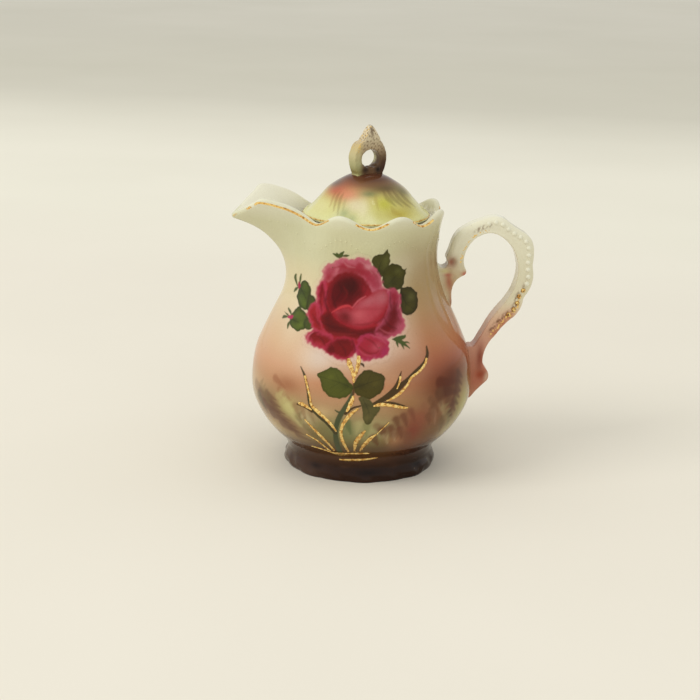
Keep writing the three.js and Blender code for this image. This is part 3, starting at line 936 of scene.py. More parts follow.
ROSE_CUP_FOLD = [
    (-4.4, 75.4), (-1.8, 78.2), (1.2, 79.8), (4.8, 82.4), (8, 83.2), (9.4, 81.4), (9.4, 78.4), (3, 76.6),
]
ROSE_UNDER = [
    (-17.4, 73), (-13.4, 74.4), (-11.6, 72), (-8, 69.6), (-3, 68), (1.8, 68.6), (5.6, 69.4), (6, 65.6),
    (0, 64.4), (-8, 64.6), (-14, 65.6), (-16.4, 68.6),
]
ROSE_RIGHT = [
    (9.6, 83.4), (12.5, 84), (14.4, 82), (14.7, 77), (16.2, 73.7), (16.8, 71.3), (15, 68), (12, 66),
    (9, 64.6), (4.6, 66.6), (5.6, 69.6), (8.8, 74), (9.8, 78.5),
]
ROSE_LOW_LEFT = [
    (-23.3, 64.6), (-22, 66.8), (-20, 67.8), (-16.5, 66.6), (-12.5, 65), (-11.6, 62.2), (-14.4, 59.6),
    (-18.6, 60), (-21.2, 61.6),
]
ROSE_LOW_MIDDLE = [
    (-15.8, 59.6), (-14, 62.4), (-10, 64.4), (-5.6, 64.6), (-2.8, 62.4), (-3, 59.2), (-5, 56.8), (-7.7, 56),
    (-11, 56.7), (-14, 58),
]
ROSE_LOW_RIGHT = [
    (-2.2, 63.6), (1, 66.2), (5.4, 66), (8.8, 64.2), (10.4, 62.5), (10, 59.3), (7.6, 57.4), (4.6, 57.3),
    (1.2, 56.2), (-1.8, 57.6), (-3, 60),
]


# Fine folds: three points each, width in the middle, colour.
ROSE_FOLDS = [
    ((-13, 91), (-10, 91.6), (-6, 90.6), 0.8, (150, 44, 54)),
    ((-9, 94), (-7, 92), (-4, 91.4), 0.7, (190, 110, 120)),
    ((-2, 94.4), (0.6, 92.4), (3, 89.6), 0.8, (196, 122, 130)),
    ((2, 91), (4.6, 88.6), (5.6, 85), 0.9, (158, 62, 74)),
    ((-17.4, 84), (-16.2, 80), (-16, 76), 0.9, (108, 18, 24)),
    ((-20.8, 74), (-19, 71), (-17.4, 69), 0.8, (112, 20, 26)),
    ((-17, 70.6), (-12, 68.2), (-6, 67.6), 1.0, (78, 14, 14)),
    ((-15, 66.6), (-9, 65.6), (-3, 66), 0.9, (128, 34, 34)),
    ((-10, 62.8), (-7.4, 60), (-7, 58), 0.8, (86, 16, 18)),
    ((-13, 62), (-12, 60), (-11.6, 58), 0.7, (92, 18, 20)),
    ((-18.8, 65), (-16.6, 63.4), (-15.2, 61), 0.8, (96, 18, 20)),
    ((0.4, 64.8), (3.6, 63.6), (6, 61.2), 0.8, (118, 26, 34)),
    ((3, 66), (7, 65), (9.4, 63), 0.7, (186, 88, 102)),
    ((-1.6, 60.2), (0.6, 58.6), (3.6, 58), 0.7, (186, 76, 96)),
    ((10.6, 82.6), (10.6, 79), (11.4, 76), 0.9, (96, 18, 24)),
    ((13.6, 80), (12.8, 76.6), (14.2, 73.4), 0.8, (110, 24, 32)),
    ((8.4, 73), (10.4, 70.4), (13.6, 69.6), 0.9, (92, 16, 22)),
    ((6.6, 68.8), (9.6, 67.4), (13, 67.6), 0.7, (184, 86, 98)),
    ((4.6, 70.4), (7.6, 72.6), (9, 76), 0.7, (104, 22, 28)),
    ((-4, 69.4), (0.6, 69.8), (5, 71.4), 0.8, (128, 30, 36)),
]


def paint_rose(canvas):
    canvas.shape(ROSE, (182, 71, 99), (158, 33, 43), 3.0, 0.75, 0.45)
    canvas.shape(ROSE_BACK, (192, 102, 119), (164, 49, 68), 3.4, 0.75, 0.45, 0.9)
    canvas.glow(-6, 89.5, 6, 2, 0, (134, 26, 34), 0.8, ROSE)
    canvas.glow(4, 86.6, 2, 4, 20, (166, 62, 81), 0.6, ROSE)
    canvas.glow(1.4, 92.2, 1.6, 1.2, 0, (210, 141, 152), 0.7, ROSE)
    canvas.shape(ROSE_TOP_LEFT, (192, 104, 116), (171, 71, 88), 2.2, 0.75, 0.40, 0.95)
    canvas.glow(-14.6, 87, 2.4, 1.6, 40, (154, 38, 49), 0.8, ROSE)
    canvas.shape(ROSE_LEFT_BACK, (179, 55, 81), (126, 22, 28), 2.0, 0.80, 0.35)
    canvas.shape(ROSE_BOWL, (134, 26, 33), (94, 14, 16), 3.6, 0.7, 0.3)
    canvas.glow(-6.2, 83.4, 5, 4.4, 20, (64, 14, 10), 0.95, ROSE_BOWL)
    canvas.glow(-9, 79.4, 4, 2.4, -30, (90, 10, 15), 0.9, ROSE_BOWL)
    canvas.glow(1, 82, 1.6, 3, 30, (154, 30, 43), 0.8, ROSE_BOWL)
    for x, z, bend, shade in ((-15.8, 77.5, 1.2, (164, 38, 48)), (-14.2, 77, 1.4, (82, 13, 16)),
                              (-12.8, 78, 1.6, (117, 16, 23)), (-11.4, 79, 1.4, (80, 11, 15))):
        fold = [(x - 0.6, z + 5, 0.3), (x - bend, z + 1, 0.8), (x, z - 3, 0.9), (x + 2, z - 6, 0.3)]
        canvas.line(fold, shade, 0.5, 0.7)
    canvas.shape(ROSE_UNDER, (112, 19, 20), (87, 18, 16), 2.4, 0.8, 0.2, 0.95)
    canvas.shape(ROSE_RIGHT, (182, 77, 101), (117, 21, 25), 3.2, 0.80, 0.40)
    canvas.glow(12.4, 81.6, 2, 2.6, 0, (156, 38, 58), 0.8, ROSE_RIGHT)
    canvas.glow(11.4, 74.4, 2.6, 4, -35, (101, 14, 18), 0.85, ROSE_RIGHT)
    canvas.glow(14.8, 70.4, 2, 2.4, 0, (184, 86, 105), 0.7, ROSE_RIGHT)
    canvas.glow(8.4, 69.6, 3, 1.2, 30, (104, 16, 20), 0.8, ROSE_RIGHT)
    canvas.line([(4, 66.8, 0.6), (8, 69, 1), (12.8, 72.4, 0.4)], (112, 18, 23), 0.6, 0.7)
    canvas.shape(ROSE_CUP, (158, 34, 46), (178, 64, 76), 2.6, 0.7, 0.25)
    canvas.glow(-7.4, 72, 3.6, 2.6, -20, (99, 18, 17), 0.9, ROSE_CUP)
    canvas.glow(-1.8, 73.2, 3, 2, 10, (192, 86, 95), 0.85, ROSE_CUP)
    canvas.glow(2, 78.6, 3.2, 1.4, 30, (186, 96, 106), 0.8, ROSE_CUP)
    canvas.glow(7, 80.4, 2.6, 2, 40, (190, 102, 112), 0.85, ROSE_CUP)
    canvas.shape(ROSE_CUP_FOLD, (180, 84, 96), (176, 90, 100), 2.4, 1.0, 0.3, 0.4)
    canvas.line([(-4.2, 74.6, 0.3), (0, 75.6, 0.9), (4, 75.8, 0.8), (8.6, 76.4, 0.3)],
                (150, 46, 56), 0.8, 0.3)
    canvas.line([(-13, 73.8, 0.2), (-9.4, 75.6, 0.9), (-6.4, 76.3, 0.8), (-4.6, 75.5, 0.3)],
                (192, 62, 68), 0.3, 0.9)
    canvas.line([(-4.6, 75.8, 0.3), (-2.2, 78.6, 0.7), (0.6, 80.4, 0.4)], (192, 86, 95), 0.3, 0.8)
    canvas.shape(ROSE_LEFT, (177, 55, 75), (156, 33, 40), 1.6, 0.75, 0.35)
    canvas.glow(-18.4, 70, 1.2, 3.6, 24, (126, 24, 25), 0.6, ROSE_LEFT)
    canvas.shape(ROSE_LOW_LEFT, (175, 53, 78), (127, 24, 25), 2.4, 0.80, 0.45)
    canvas.line([(-22.6, 62, 0.5), (-22.4, 64.6, 0.9), (-20.4, 66.6, 0.5)], (193, 95, 108), 0.3, 0.8)
    canvas.line([(-21.6, 63.4, 0.4), (-20.8, 65.6, 0.7), (-18, 66.6, 0.3)], (111, 19, 25), 0.4, 0.7)
    canvas.glow(-17.6, 61.4, 2, 1.2, -20, (175, 46, 61), 0.7, ROSE_LOW_LEFT)
    canvas.shape(ROSE_LOW_MIDDLE, (171, 41, 64), (117, 22, 23), 2.0, 0.80, 0.45)
    canvas.glow(-13.2, 59.6, 1.6, 1.6, 0, (94, 16, 18), 0.85, ROSE_LOW_MIDDLE)
    canvas.glow(-8, 63, 4, 1.2, 0, (101, 19, 20), 0.8, ROSE)
    canvas.shape(ROSE_LOW_RIGHT, (171, 50, 82), (160, 38, 54), 2.2, 0.80, 0.45)
    canvas.glow(5.6, 61.6, 2.4, 1.8, 30, (184, 74, 91), 0.85, ROSE_LOW_RIGHT)
    canvas.glow(8.6, 59.6, 1.6, 2.2, 0, (166, 46, 88), 0.8, ROSE_LOW_RIGHT)
    canvas.line([(-1.6, 61.6, 0.4), (1.6, 59.4, 0.9), (5, 59.2, 0.5), (6.4, 60.4, 0.2)],
                (127, 27, 35), 0.5, 0.7)
    canvas.line([(-4.4, 63.6, 0.5), (-3.2, 60.4, 0.8), (-3.6, 59, 0.2)], (99, 18, 20), 0.5, 0.7)
    for x, z, bend, shade in ((-2.2, 83.6, 2.4, (112, 24, 28)), (0.2, 83, 2.8, (96, 16, 20)),
                              (-4.6, 84.4, 2, (58, 10, 10)), (-7.4, 80.6, 2.4, (118, 22, 24)),
                              (-9.6, 82, 2.2, (62, 10, 10))):
        canvas.line([(x - 1, z + 3, 0.2), (x + 0.4, z, 0.7), (x - bend, z - 4, 0.2)], shade, 0.7, 0.5)
    for start, bend, finish, width, shade in ROSE_FOLDS:
        canvas.line([(*start, 0.2), (*bend, width), (*finish, 0.15)], shade, 0.5, 0.6)


# Each leaf: outline, edge colour, middle colour, and its vein from base to tip.
UPPER_LEAVES = [
    (
        [
            (6.4, 88.4), (3.6, 91.6), (2.6, 95.4), (4.6, 97.4), (7.2, 98.2), (8.9, 100), (10, 97),
            (9.8, 93), (8, 90),
        ],
        (66, 63, 27), (72, 71, 30), [(6.4, 88.6), (5.8, 92.6), (8.8, 99)],
    ),
    (
        [
            (7.4, 85.2), (7, 88), (7.8, 91.4), (10.2, 94), (13.6, 94.2), (15.4, 92.6), (17, 93),
            (16.4, 90.2), (15.8, 86.4), (13.6, 84), (10, 83.8),
        ],
        (58, 56, 20), (66, 63, 23), [(9, 85), (12, 88.6), (15.4, 92.6)],
    ),
    (
        [
            (14.6, 84.4), (17.4, 85.6), (20.2, 84.6), (21.7, 82), (21.8, 78.4), (20.6, 76.2),
            (17.8, 75.4), (15.4, 76.4), (14.7, 79),
        ],
        (52, 46, 19), (66, 61, 23), [(14.8, 84), (17, 80), (20.6, 77.4)],
    ),
    (
        [
            (-25.7, 85), (-23.9, 85.8), (-22, 84), (-21.8, 81), (-20.9, 78.8), (-22, 76.4),
            (-23.9, 75.6), (-26, 76.2), (-27.6, 78.6), (-27, 82),
        ],
        (56, 66, 27), (80, 94, 38), [(-26.4, 83), (-24, 80), (-23, 77)],
    ),
    (
        [
            (-29, 73.8), (-26.5, 76), (-24.4, 75.2), (-22.7, 73.6), (-22, 71.6), (-23, 69.2),
            (-25, 67), (-27.2, 65.8), (-29.6, 67), (-30.4, 69.4),
        ],
        (58, 68, 28), (86, 98, 40), [(-29.4, 70.4), (-27, 70), (-24, 69.4)],
    ),
]
LOWER_LEAVES = [
    (
        [
            (-18.2, 49.8), (-16, 51.2), (-13.2, 52.9), (-10, 52.9), (-8, 51.4), (-6, 48.8),
            (-3.6, 46.4), (-4.4, 43.4), (-7.2, 41.3), (-11, 40.9), (-14, 42), (-16, 44.2), (-16.8, 47),
        ],
        (70, 74, 26), (82, 86, 32), [(-3.8, 45.4), (-9, 47.4), (-17, 49)],
    ),
    (
        [
            (-3.3, 46.4), (-2.2, 49.6), (0.7, 52.6), (3.6, 52.7), (6.6, 51.6), (8.9, 50.6),
            (9.1, 47.4), (8.2, 44.6), (5.4, 42.2), (3.2, 41.2), (0.2, 41.8), (-2.4, 43.2),
        ],
        (66, 61, 23), (76, 69, 27), [(-3.2, 45.6), (2, 47.6), (8, 49.4)],
    ),
    (
        [
            (-1.3, 42.2), (3.2, 41), (4.8, 39), (7.4, 37.6), (7, 35.6), (5, 33.2), (3.6, 30.4),
            (2, 30.4), (0.8, 33), (0.4, 37),
        ],
        (84, 80, 45), (92, 86, 49), [(0.6, 41), (3, 36), (3, 31)],
    ),
]
SPRIGS = [
    [(-13, 97, 0.5), (-11, 96, 1.5), (-9.6, 95.6, 0.6)],
    [(-8.8, 97.8, 0.6), (-9.8, 96.6, 1.6), (-10.4, 95.2, 0.6)],
    [(-6.6, 96.3, 0.4), (-7.8, 96.2, 1.1), (-9.4, 96, 0.5)],
    [(-11.6, 97.2, 0.5), (-11, 96.4, 1.1), (-10, 96, 0.4)],
    [(-28.3, 87, 0.5), (-28.6, 85.4, 1.1), (-27.6, 83, 0.5)],
    [(-26.1, 87.8, 0.3), (-26.4, 86, 0.8), (-26.6, 84, 0.4)],
    [(-29, 80.4, 0.3), (-28.2, 81.6, 0.9), (-27.2, 82.6, 0.4)],
    [(-33.6, 68.8, 0.3), (-32.6, 70, 1.1), (-30.8, 70.8, 0.4)],
    [(-32.6, 71.8, 0.4), (-31.4, 71.4, 0.8), (-30.2, 71, 0.3)],
    [(-31.2, 65.6, 0.3), (-30.9, 67.4, 0.9), (-30.3, 69, 0.4)],
    [(-31, 73.8, 0.8), (-30.4, 73.2, 1.2), (-29.6, 72, 0.5)],
    [(11.8, 65, 0.4), (13.6, 65.2, 2.0), (16.4, 66.4, 1.6), (17, 67.2, 0.5)],
    [(13, 65, 1.2), (15.4, 64, 1.9), (17.6, 62.4, 0.9), (19, 61, 0.3)],
    [(13.4, 64.6, 0.8), (13.8, 63.2, 0.9), (14.2, 61.8, 0.3)],
    [(16, 64, 0.8), (17.6, 64, 0.8), (18.8, 63.4, 0.3)],
    [(15.4, 63.6, 0.7), (16, 62.4, 0.8), (16.6, 61, 0.3)],
]


def paint_leaves(canvas, leaves):
    for outline, edge, middle, vein in leaves:
        canvas.shape(outline, edge, middle, 1.6, 0.22, 0.22)
        base, bend, tip = (np.array(p, float) for p in vein)
        dark = np.array(edge) * 0.72
        canvas.glow(*((bend + base) / 2), 2, 1.4, 0, tuple(dark), 0.5, outline)
        canvas.line([(*base, 0.35), (*bend, 0.3), (*tip, 0.15)], tuple(dark), 0.25, 0.6)
        across = np.array([base[1] - tip[1], tip[0] - base[0]]) * 0.26
        for part in (0.3, 0.55):
            start = base * (1 - part) + bend * part if part < 0.5 else bend
            for side in (-1, 1):
                end = start + (tip - base) * 0.22 + side * across
                twig = [(*start, 0.2), (*((start + end) / 2), 0.16), (*end, 0.1)]
                canvas.line(twig, tuple(dark), 0.25, 0.4)
        light = np.minimum(np.array(middle) * 1.22, 255)
        canvas.glow(*((bend + tip) / 2 - 0.3 * across), 1.6, 1.1, 30, tuple(light), 0.5, outline)


def paint_flower(canvas):
    halo = [(x * 1.07 + 0.2, 76 + (z - 76) * 1.06) for x, z in ROSE]
    canvas.shape(halo, (222, 190, 176), (214, 160, 156), 2, 1.4, 0.2, 0.45)
    for sprig in SPRIGS:
        canvas.line(sprig, (74, 86, 42), 0.25)
    paint_leaves(canvas, UPPER_LEAVES)
    small_leaves = (
        [(-23, 80.6), (-21, 80.8), (-19.6, 79), (-19.8, 76.4), (-21.6, 75), (-23.4, 76.2)],
        [(-23.6, 72.6), (-21.4, 72.2), (-20.2, 70), (-21, 68), (-23, 67.6), (-24.4, 69.4)],
    )
    for outline in small_leaves:
        canvas.shape(outline, (50, 56, 26), (72, 82, 37), 1.2)
    canvas.glow(8.4, 95, 1.3, 3, -14, (92, 92, 44), 0.7, UPPER_LEAVES[0][0])
    canvas.glow(13.4, 91.4, 1.8, 1.2, 30, (92, 92, 46), 0.6, UPPER_LEAVES[1][0])
    canvas.glow(9.6, 87.4, 1.4, 2.4, 0, (84, 84, 40), 0.5, UPPER_LEAVES[1][0])
    canvas.glow(19, 82, 1.6, 1.4, 0, (96, 94, 50), 0.6, UPPER_LEAVES[2][0])
    canvas.glow(-22.4, 79.6, 1.4, 2.6, 0, (66, 68, 38), 0.7, UPPER_LEAVES[3][0])
    canvas.glow(-23.4, 71, 1.2, 2.4, 0, (74, 80, 48), 0.6, UPPER_LEAVES[4][0])
    canvas.line([(-26.9, 84.4, 0.6), (-26.8, 83.4, 1.2), (-26.9, 82.4, 0.6)], (160, 38, 72), 0.25)
    canvas.line([(-31, 70.4, 0.8), (-30, 71, 1.5), (-29.2, 71.8, 0.8)], (176, 48, 92), 0.25)
    paint_rose(canvas)


def paint_stems(canvas):
    brown, green = (76, 58, 32), (78, 84, 56)
    canvas.line([(-7.8, 13, 2.2), (-9.6, 20, 2.2), (-10.2, 26, 2.0), (-9.2, 32, 2.2), (-6.8, 37, 2.0),
                 (-5, 40.4, 1.6), (-3.6, 43.8, 1.2)], green, 0.3)
    canvas.line([(-10.6, 36, 0.5), (-9.6, 35.4, 0.8), (-8, 35, 1.0)], green, 0.25)
    canvas.line([(-10.2, 25.4, 1.6), (-13.7, 29.6, 1.4), (-17.6, 32.8, 1.3), (-20.6, 36.4, 1.5),
                 (-21.8, 42.6, 1.3), (-23.2, 48, 1.1), (-25, 51.4, 0.4)], (72, 66, 40), 0.25)
    canvas.line([(-26, 36, 0.8), (-23, 35.8, 1.6), (-20, 34, 1.0)], brown, 0.25)
    canvas.line([(-6.4, 34.8, 1.2), (-3.4, 37.4, 0.9), (-0.4, 38.4, 0.7)], brown, 0.2)
    canvas.line([(3, 38.6, 0.5), (6, 39.8, 1.6), (10.4, 42.2, 2.6), (14, 45, 3.0), (17.6, 47.8, 1.9),
                 (21.4, 51, 1.7), (25, 54, 1.5), (26.3, 57, 1.3), (25.9, 61, 0.5)], brown, 0.25)
    canvas.line([(12.4, 44, 2.2), (14.2, 47, 1.6), (15.7, 51.8, 0.4)], brown, 0.25)
    canvas.line([(7, 39.4, 1.0), (12.2, 39.3, 1.4), (17, 37.8, 0.9), (19, 36.8, 0.2)], brown, 0.25)
    canvas.line([(-3.4, 43, 0.8), (-3.3, 47, 0.9), (-3.4, 50, 0.9)], (88, 62, 36), 0.2)
    canvas.line([(-1.6, 55.4, 0.3), (0, 54.8, 1.0), (0.6, 54, 0.4)], (84, 66, 46), 0.25)
    paint_leaves(canvas, LOWER_LEAVES)


# ---------------------------------------------------------------- raised gold and pearls

# Raised gold strokes as x, height and width, seen from the front.
GOLD_STROKES = [
    [(-23.2, 48.6, 0.9), (-22, 44, 0.7), (-20.9, 40, 0.7), (-20.2, 36.8, 0.9), (-17.6, 34.4, 1.3),
     (-14.6, 32, 1.0), (-12.2, 29.6, 1.1), (-9.7, 26, 0.4)],
    [(-25.7, 36.5, 0.6), (-24.4, 36.5, 1.3), (-22.6, 36, 1.1), (-19.8, 34.6, 0.5)],
    [(-3.2, 42.6, 0.7), (-4.2, 39.6, 1.4), (-6, 35.4, 0.6)],
    [(-1, 37.5, 0.5), (-4.2, 34.8, 1.1), (-5.8, 32.6, 1.3), (-7.3, 29.8, 1.1), (-8, 26.2, 1.0),
     (-7.4, 22, 1.2), (-6, 18.2, 1.1), (-4.6, 15, 0.7)],
    [(-23, 30, 0.3), (-20, 26.8, 0.8), (-16.3, 22.8, 1.2), (-12.8, 18.6, 0.9), (-10.5, 14.8, 1.1)],
    [(-22.4, 22.4, 0.25), (-17.4, 19.6, 0.5), (-12, 14.2, 0.9)],
    [(-20.2, 15.6, 0.2), (-15.6, 14.9, 0.3), (-10.5, 13.2, 0.5)],
    [(2, 27.6, 0.3), (0.2, 25, 1.4), (-1.8, 21, 1.5), (-2.4, 15.4, 0.5)],
    [(6.5, 25.6, 0.3), (4, 23.2, 1.4), (1.6, 19.6, 1.4), (-0.2, 15.8, 0.4)],
    [(11.5, 31.4, 0.15), (9, 28.6, 0.22), (6.4, 25.4, 0.2)],
    [(-11.8, 13.2, 0.5), (-8, 13, 1.9), (-5.4, 13.6, 1.1), (-1.3, 14.2, 1.0), (4.2, 14.6, 0.5)],
    [(-8.6, 9.6, 0.5), (-4, 9.9, 1.0), (1.8, 10.4, 1.0), (7.6, 11.4, 0.5)],
    [(-5.9, 57, 0.9), (-5.3, 55, 1.7), (-4.2, 52.6, 1.2), (-3.5, 50, 1.0), (-3.3, 47.4, 0.5)],
    [(-1.7, 58.2, 0.9), (-1.6, 56, 1.4), (-2.2, 52.8, 1.1), (-3.1, 50, 0.7)],
    [(26, 55.8, 0.8), (25.4, 53.6, 0.8), (23.2, 51.2, 0.7), (19.8, 49, 0.8), (18.2, 46.2, 0.7),
     (15.4, 43.3, 1.0), (12.4, 41.4, 0.8), (9.8, 40.3, 0.3)],
    [(4.6, 38.3, 0.4), (7.6, 39, 1.2), (12.2, 38.4, 1.0), (16, 37.4, 0.9), (19, 36.9, 0.4)],
    [(15.4, 50.2, 0.8), (15.1, 47.8, 0.6), (14, 44.8, 0.3)],
]
GOLD_RISE = 0.24


def gold_stroke(points):
    knots = np.linspace(0, 1, len(points))
    xs, zs, widths = ([(k, point[i]) for k, point in zip(knots, points)] for i in range(3))
    length = sum(math.dist(a[:2], b[:2]) for a, b in zip(points, points[1:]))

    def flat(v):
        x, z = smooth(xs, v), smooth(zs, v)
        bearing = facing(x, z)
        return np.radians(bearing) * radius_at(bearing, z), z

    def place(u, v):
        (s0, z0), (s1, z1) = flat(np.clip(v - 0.02, 0, 1)), flat(np.clip(v + 0.02, 0, 1))
        span = np.hypot(s1 - s0, z1 - z0)
        s, z = flat(v)
        angle = 2 * math.pi * u
        fine = np.sqrt(np.clip(np.minimum(v, 1 - v) * length / smooth(widths, v) * 2, 0, 1))
        wobble = 1 + 0.1 * np.sin(v * length * 3.1) + 0.08 * np.sin(v * length * 7.7)
        across = fine * wobble * (0.1 + 0.55 * smooth(widths, v)) * np.cos(angle)
        height = fine * GOLD_RISE * np.sin(angle) * (1 + 0.25 * np.sin(v * length * 4.3 + 1))
        s, z = s - (z1 - z0) / span * across, z + (s1 - s0) / span * across
        bearing = np.degrees(s / radius_at(facing(smooth(xs, v), smooth(zs, v)), smooth(zs, v)))
        return over_glaze(bearing, z, height + TRANSFER_LIFT)

    stroke = sheet_of("stroke", place, 12, max(12, int(length / 0.35)))
    tidy_mesh(stroke)
    return stroke


def gilded_stems():
    stems = join([gold_stroke(points) for points in GOLD_STROKES], "gilded_stems")
    return keep(stems, "jug", worn_gold("gold_stems", wear=0.3))


def bead(x, y, z, radius):
    bpy.ops.mesh.primitive_uv_sphere_add(segments=16, ring_count=10, radius=radius * MM,
                                         location=(x * MM + AXIS_X, y * MM, z * MM))
    return bpy.context.object


PEARL_RADIUS = 0.52
PEARL_DEPTH = 0.32  # of its middle, in the glaze


def rim_pearls():
    """Arcs of small pearls under each scallop, and a row down each side of the spout."""
    spots = []
    for crest in (67.5, 112.5, 157.5):
        for side in (-1, 1):
            for i in range(-4, 5):
                spots.append((crest + 4.1 * i, 99.4 - 1.6 * (i / 4) ** 2, side))
    for away, level in ((14, 102.4), (19, 101.2), (24, 99.8), (29, 98.4), (34, 97), (39, 95.8)):
        spots += [(away, level, -1), (away, level, 1)]
    beads = []
    for away, level, side in spots:
        r, z = wall_point(np.array(float(away)), np.array(level), PEARL_DEPTH)
        theta = math.pi + side * math.radians(away)
        beads.append(bead(r * math.cos(theta), r * math.sin(theta), float(z), PEARL_RADIUS))
    pearls = join(beads, "rim_pearls")
    points = about_axis(pearls)
    colour_points(pearls, np.minimum(ground_colour(bearing_of(points), points[:, 2]) * 1.08, 1))
    return keep(pearls, "jug", painted_glaze("glaze_pearls"))


HANDLE_PEARL_RADIUS = 1.15
HANDLE_PEARL_SPACING = 3.1
HANDLE_PEARL_INSET = 2.5
GILT_BELOW = 79  # the pearls under this height are gilded


def handle_beading():
    """A row of pearls on each side of the loop, a little in from its outer edge."""
    path = open_path(HANDLE_OUTER[6:25], 8)
    way = np.gradient(path, axis=0)
    way /= np.hypot(way[:, 0], way[:, 1])[:, None]
    inset = path + HANDLE_PEARL_INSET * np.stack([way[:, 1], -way[:, 0]], -1)
    along = np.concatenate([[0], np.cumsum(np.hypot(*np.diff(inset, axis=0).T))])
    beads = []
    for distance in np.arange(0, along[-1], HANDLE_PEARL_SPACING):
        x, z = (float(np.interp(distance, along, inset[:, i])) for i in range(2))
        for side in (-1, 1):
            beads.append(bead(x, side * (HANDLE_HALF - 0.5), z, HANDLE_PEARL_RADIUS))
    gilded = [one for one in beads if one.location.z < GILT_BELOW * MM]
    plain = [one for one in beads if one.location.z >= GILT_BELOW * MM]
    white = plain_glaze("glaze_handle_pearls", (238, 236, 214))
    keep(join(plain, "handle_pearls"), "jug", white)
    gold = worn_gold("gold_handle_pearls", wear=0.4)
    keep(join(gilded, "handle_gilt_pearls"), "jug", gold)


def rim_gilding():
    """A thin gold line on the lip's outer edge, whole in the scallops' dips and beside the spout."""

    def place(u, v):
        theta = 2 * math.pi * u
        away = from_spout(theta)
        roll = np.radians(26 + 38 * v)
        lip = WALL / 2 + 0.05
        level = np.full_like(away, RIM_LEVEL)
        r, z = wall_point(away, level, WALL / 2 - lip * np.cos(roll), lip * np.sin(roll))
        return r * np.cos(theta), r * np.sin(theta), z

    band = sheet_of("rim_gilding", place, 1600, 6)
    tidy_mesh(band)
    points = about_axis(band)
    away = from_spout(np.arctan2(points[:, 1], points[:, 0]))
    dip = np.where(away > SPOUT_END, (1 + np.cos(np.radians(SCALLOPS * away))) / 2, 0.35)
    dip = np.where((away > 18) & (away < 50), np.maximum(dip, 0.8), dip)
    amount = dip - 0.42 + 0.28 * mottle(points, 4.5, 11) + 0.12 * mottle(points, 1.0, 12)
    delete_points(band, amount < 0)
    return keep(band, "jug", worn_gold("gold_rim", wear=0.28))


# Across the gold line, as radius and height.
LID_EDGE = [(26.5, 108.52), (26.58, 108.42), (26.62, 108.3), (26.64, 108.2), (26.62, 108.08)]


def lid_edge_line():
    """A thin gold line round the edge of the lid."""

    def place(u, v):
        theta = 2 * math.pi * u
        row = np.rint(v * (len(LID_EDGE) - 1)).astype(int)
        r, z = np.array(LID_EDGE)[row].T
        return r * np.cos(theta), r * np.sin(theta), z

    line = sheet_of("lid_edge_line", place, 700, len(LID_EDGE) - 1)
    tidy_mesh(line)
    points = about_axis(line)
    amount = 0.34 + 0.35 * mottle(points, 4.5, 21) + 0.15 * mottle(points, 1.3, 22)
    delete_points(line, amount < 0)
    return keep(line, "lid", worn_gold("gold_lid_line", wear=0.26))


# ---------------------------------------------------------------- lid, ledge, collar and finial

LID_SEAT = 107
# Height of the lid's top at each radius.
LID_OUTLINE = [
    (0, 125.4), (6.7, 124.4), (11.6, 122), (16.4, 118.6), (20.2, 114.6), (23.4, 111.2), (26.4, 108.8),
]
LID_BANDS = [
    (107, (228, 228, 176)), (110, (222, 222, 158)), (114, (214, 210, 136)), (117, (206, 196, 124)),
    (119.6, (186, 162, 106)), (121.6, (136, 100, 68)), (123.4, (98, 62, 42)), (126, (88, 52, 36)),
]
# Patches and strokes on the lid, in the same terms as the jug's.
LID_CLOUDS = [
    (-52, 119.2, 27, 2.8, (192, 94, 72), 0.9), (-26, 118, 18, 2.4, (220, 142, 112), 0.85),
    (-12, 114.6, 15, 2.8, (232, 222, 188), 0.85), (-78, 121.2, 26, 1.8, (104, 84, 70), 0.85),
    (4, 119, 13, 1.1, (128, 138, 96), 0.8), (34, 120.6, 30, 1.6, (92, 74, 46), 0.85),
    (66, 119, 20, 2.6, (112, 106, 62), 0.85), (22, 115.4, 13, 2.8, (200, 198, 84), 0.95),
    (38, 111.4, 20, 2.6, (196, 182, 76), 0.9), (54, 114.4, 12, 2.4, (184, 170, 92), 0.7),
    (-60, 112.6, 18, 3, (226, 222, 164), 0.8), (-24, 111.6, 6, 1.8, (158, 172, 126), 0.75),
    (-14, 110, 5, 1.6, (176, 186, 140), 0.7), (-4, 113, 5, 3.4, (236, 230, 190), 0.7),
    (-30, 110, 6, 2.4, (222, 222, 176), 0.6), (4, 110, 7, 2, (230, 228, 180), 0.7),
    (13, 111.4, 6, 2, (204, 198, 120), 0.6), (76, 111, 16, 3, (214, 208, 140), 0.6),
]
LID_STROKES = [
    ((-50, 117.6), (-45, 113), 1.8, (160, 104, 66), 0.36),
    ((-43, 117.2), (-37, 112), 1.9, (140, 100, 62), 0.43),
    ((-36, 116.8), (-30, 111), 1.9, (126, 104, 62), 0.40),
    ((-28, 115.6), (-25, 112), 1.6, (150, 146, 100), 0.29),
    ((12, 116.8), (14, 113), 2.4, (170, 144, 84), 0.29),
    ((27, 118.4), (37, 114.4), 2.2, (112, 96, 54), 0.43),
    ((35, 118.4), (47, 114), 2.2, (104, 88, 52), 0.43), ((45, 118), (58, 113), 2.2, (106, 88, 54), 0.43),
    ((57, 117.4), (69, 112.6), 2.1, (110, 90, 58), 0.40),
    ((30, 113), (42, 110), 1.6, (168, 140, 60), 0.29),
]


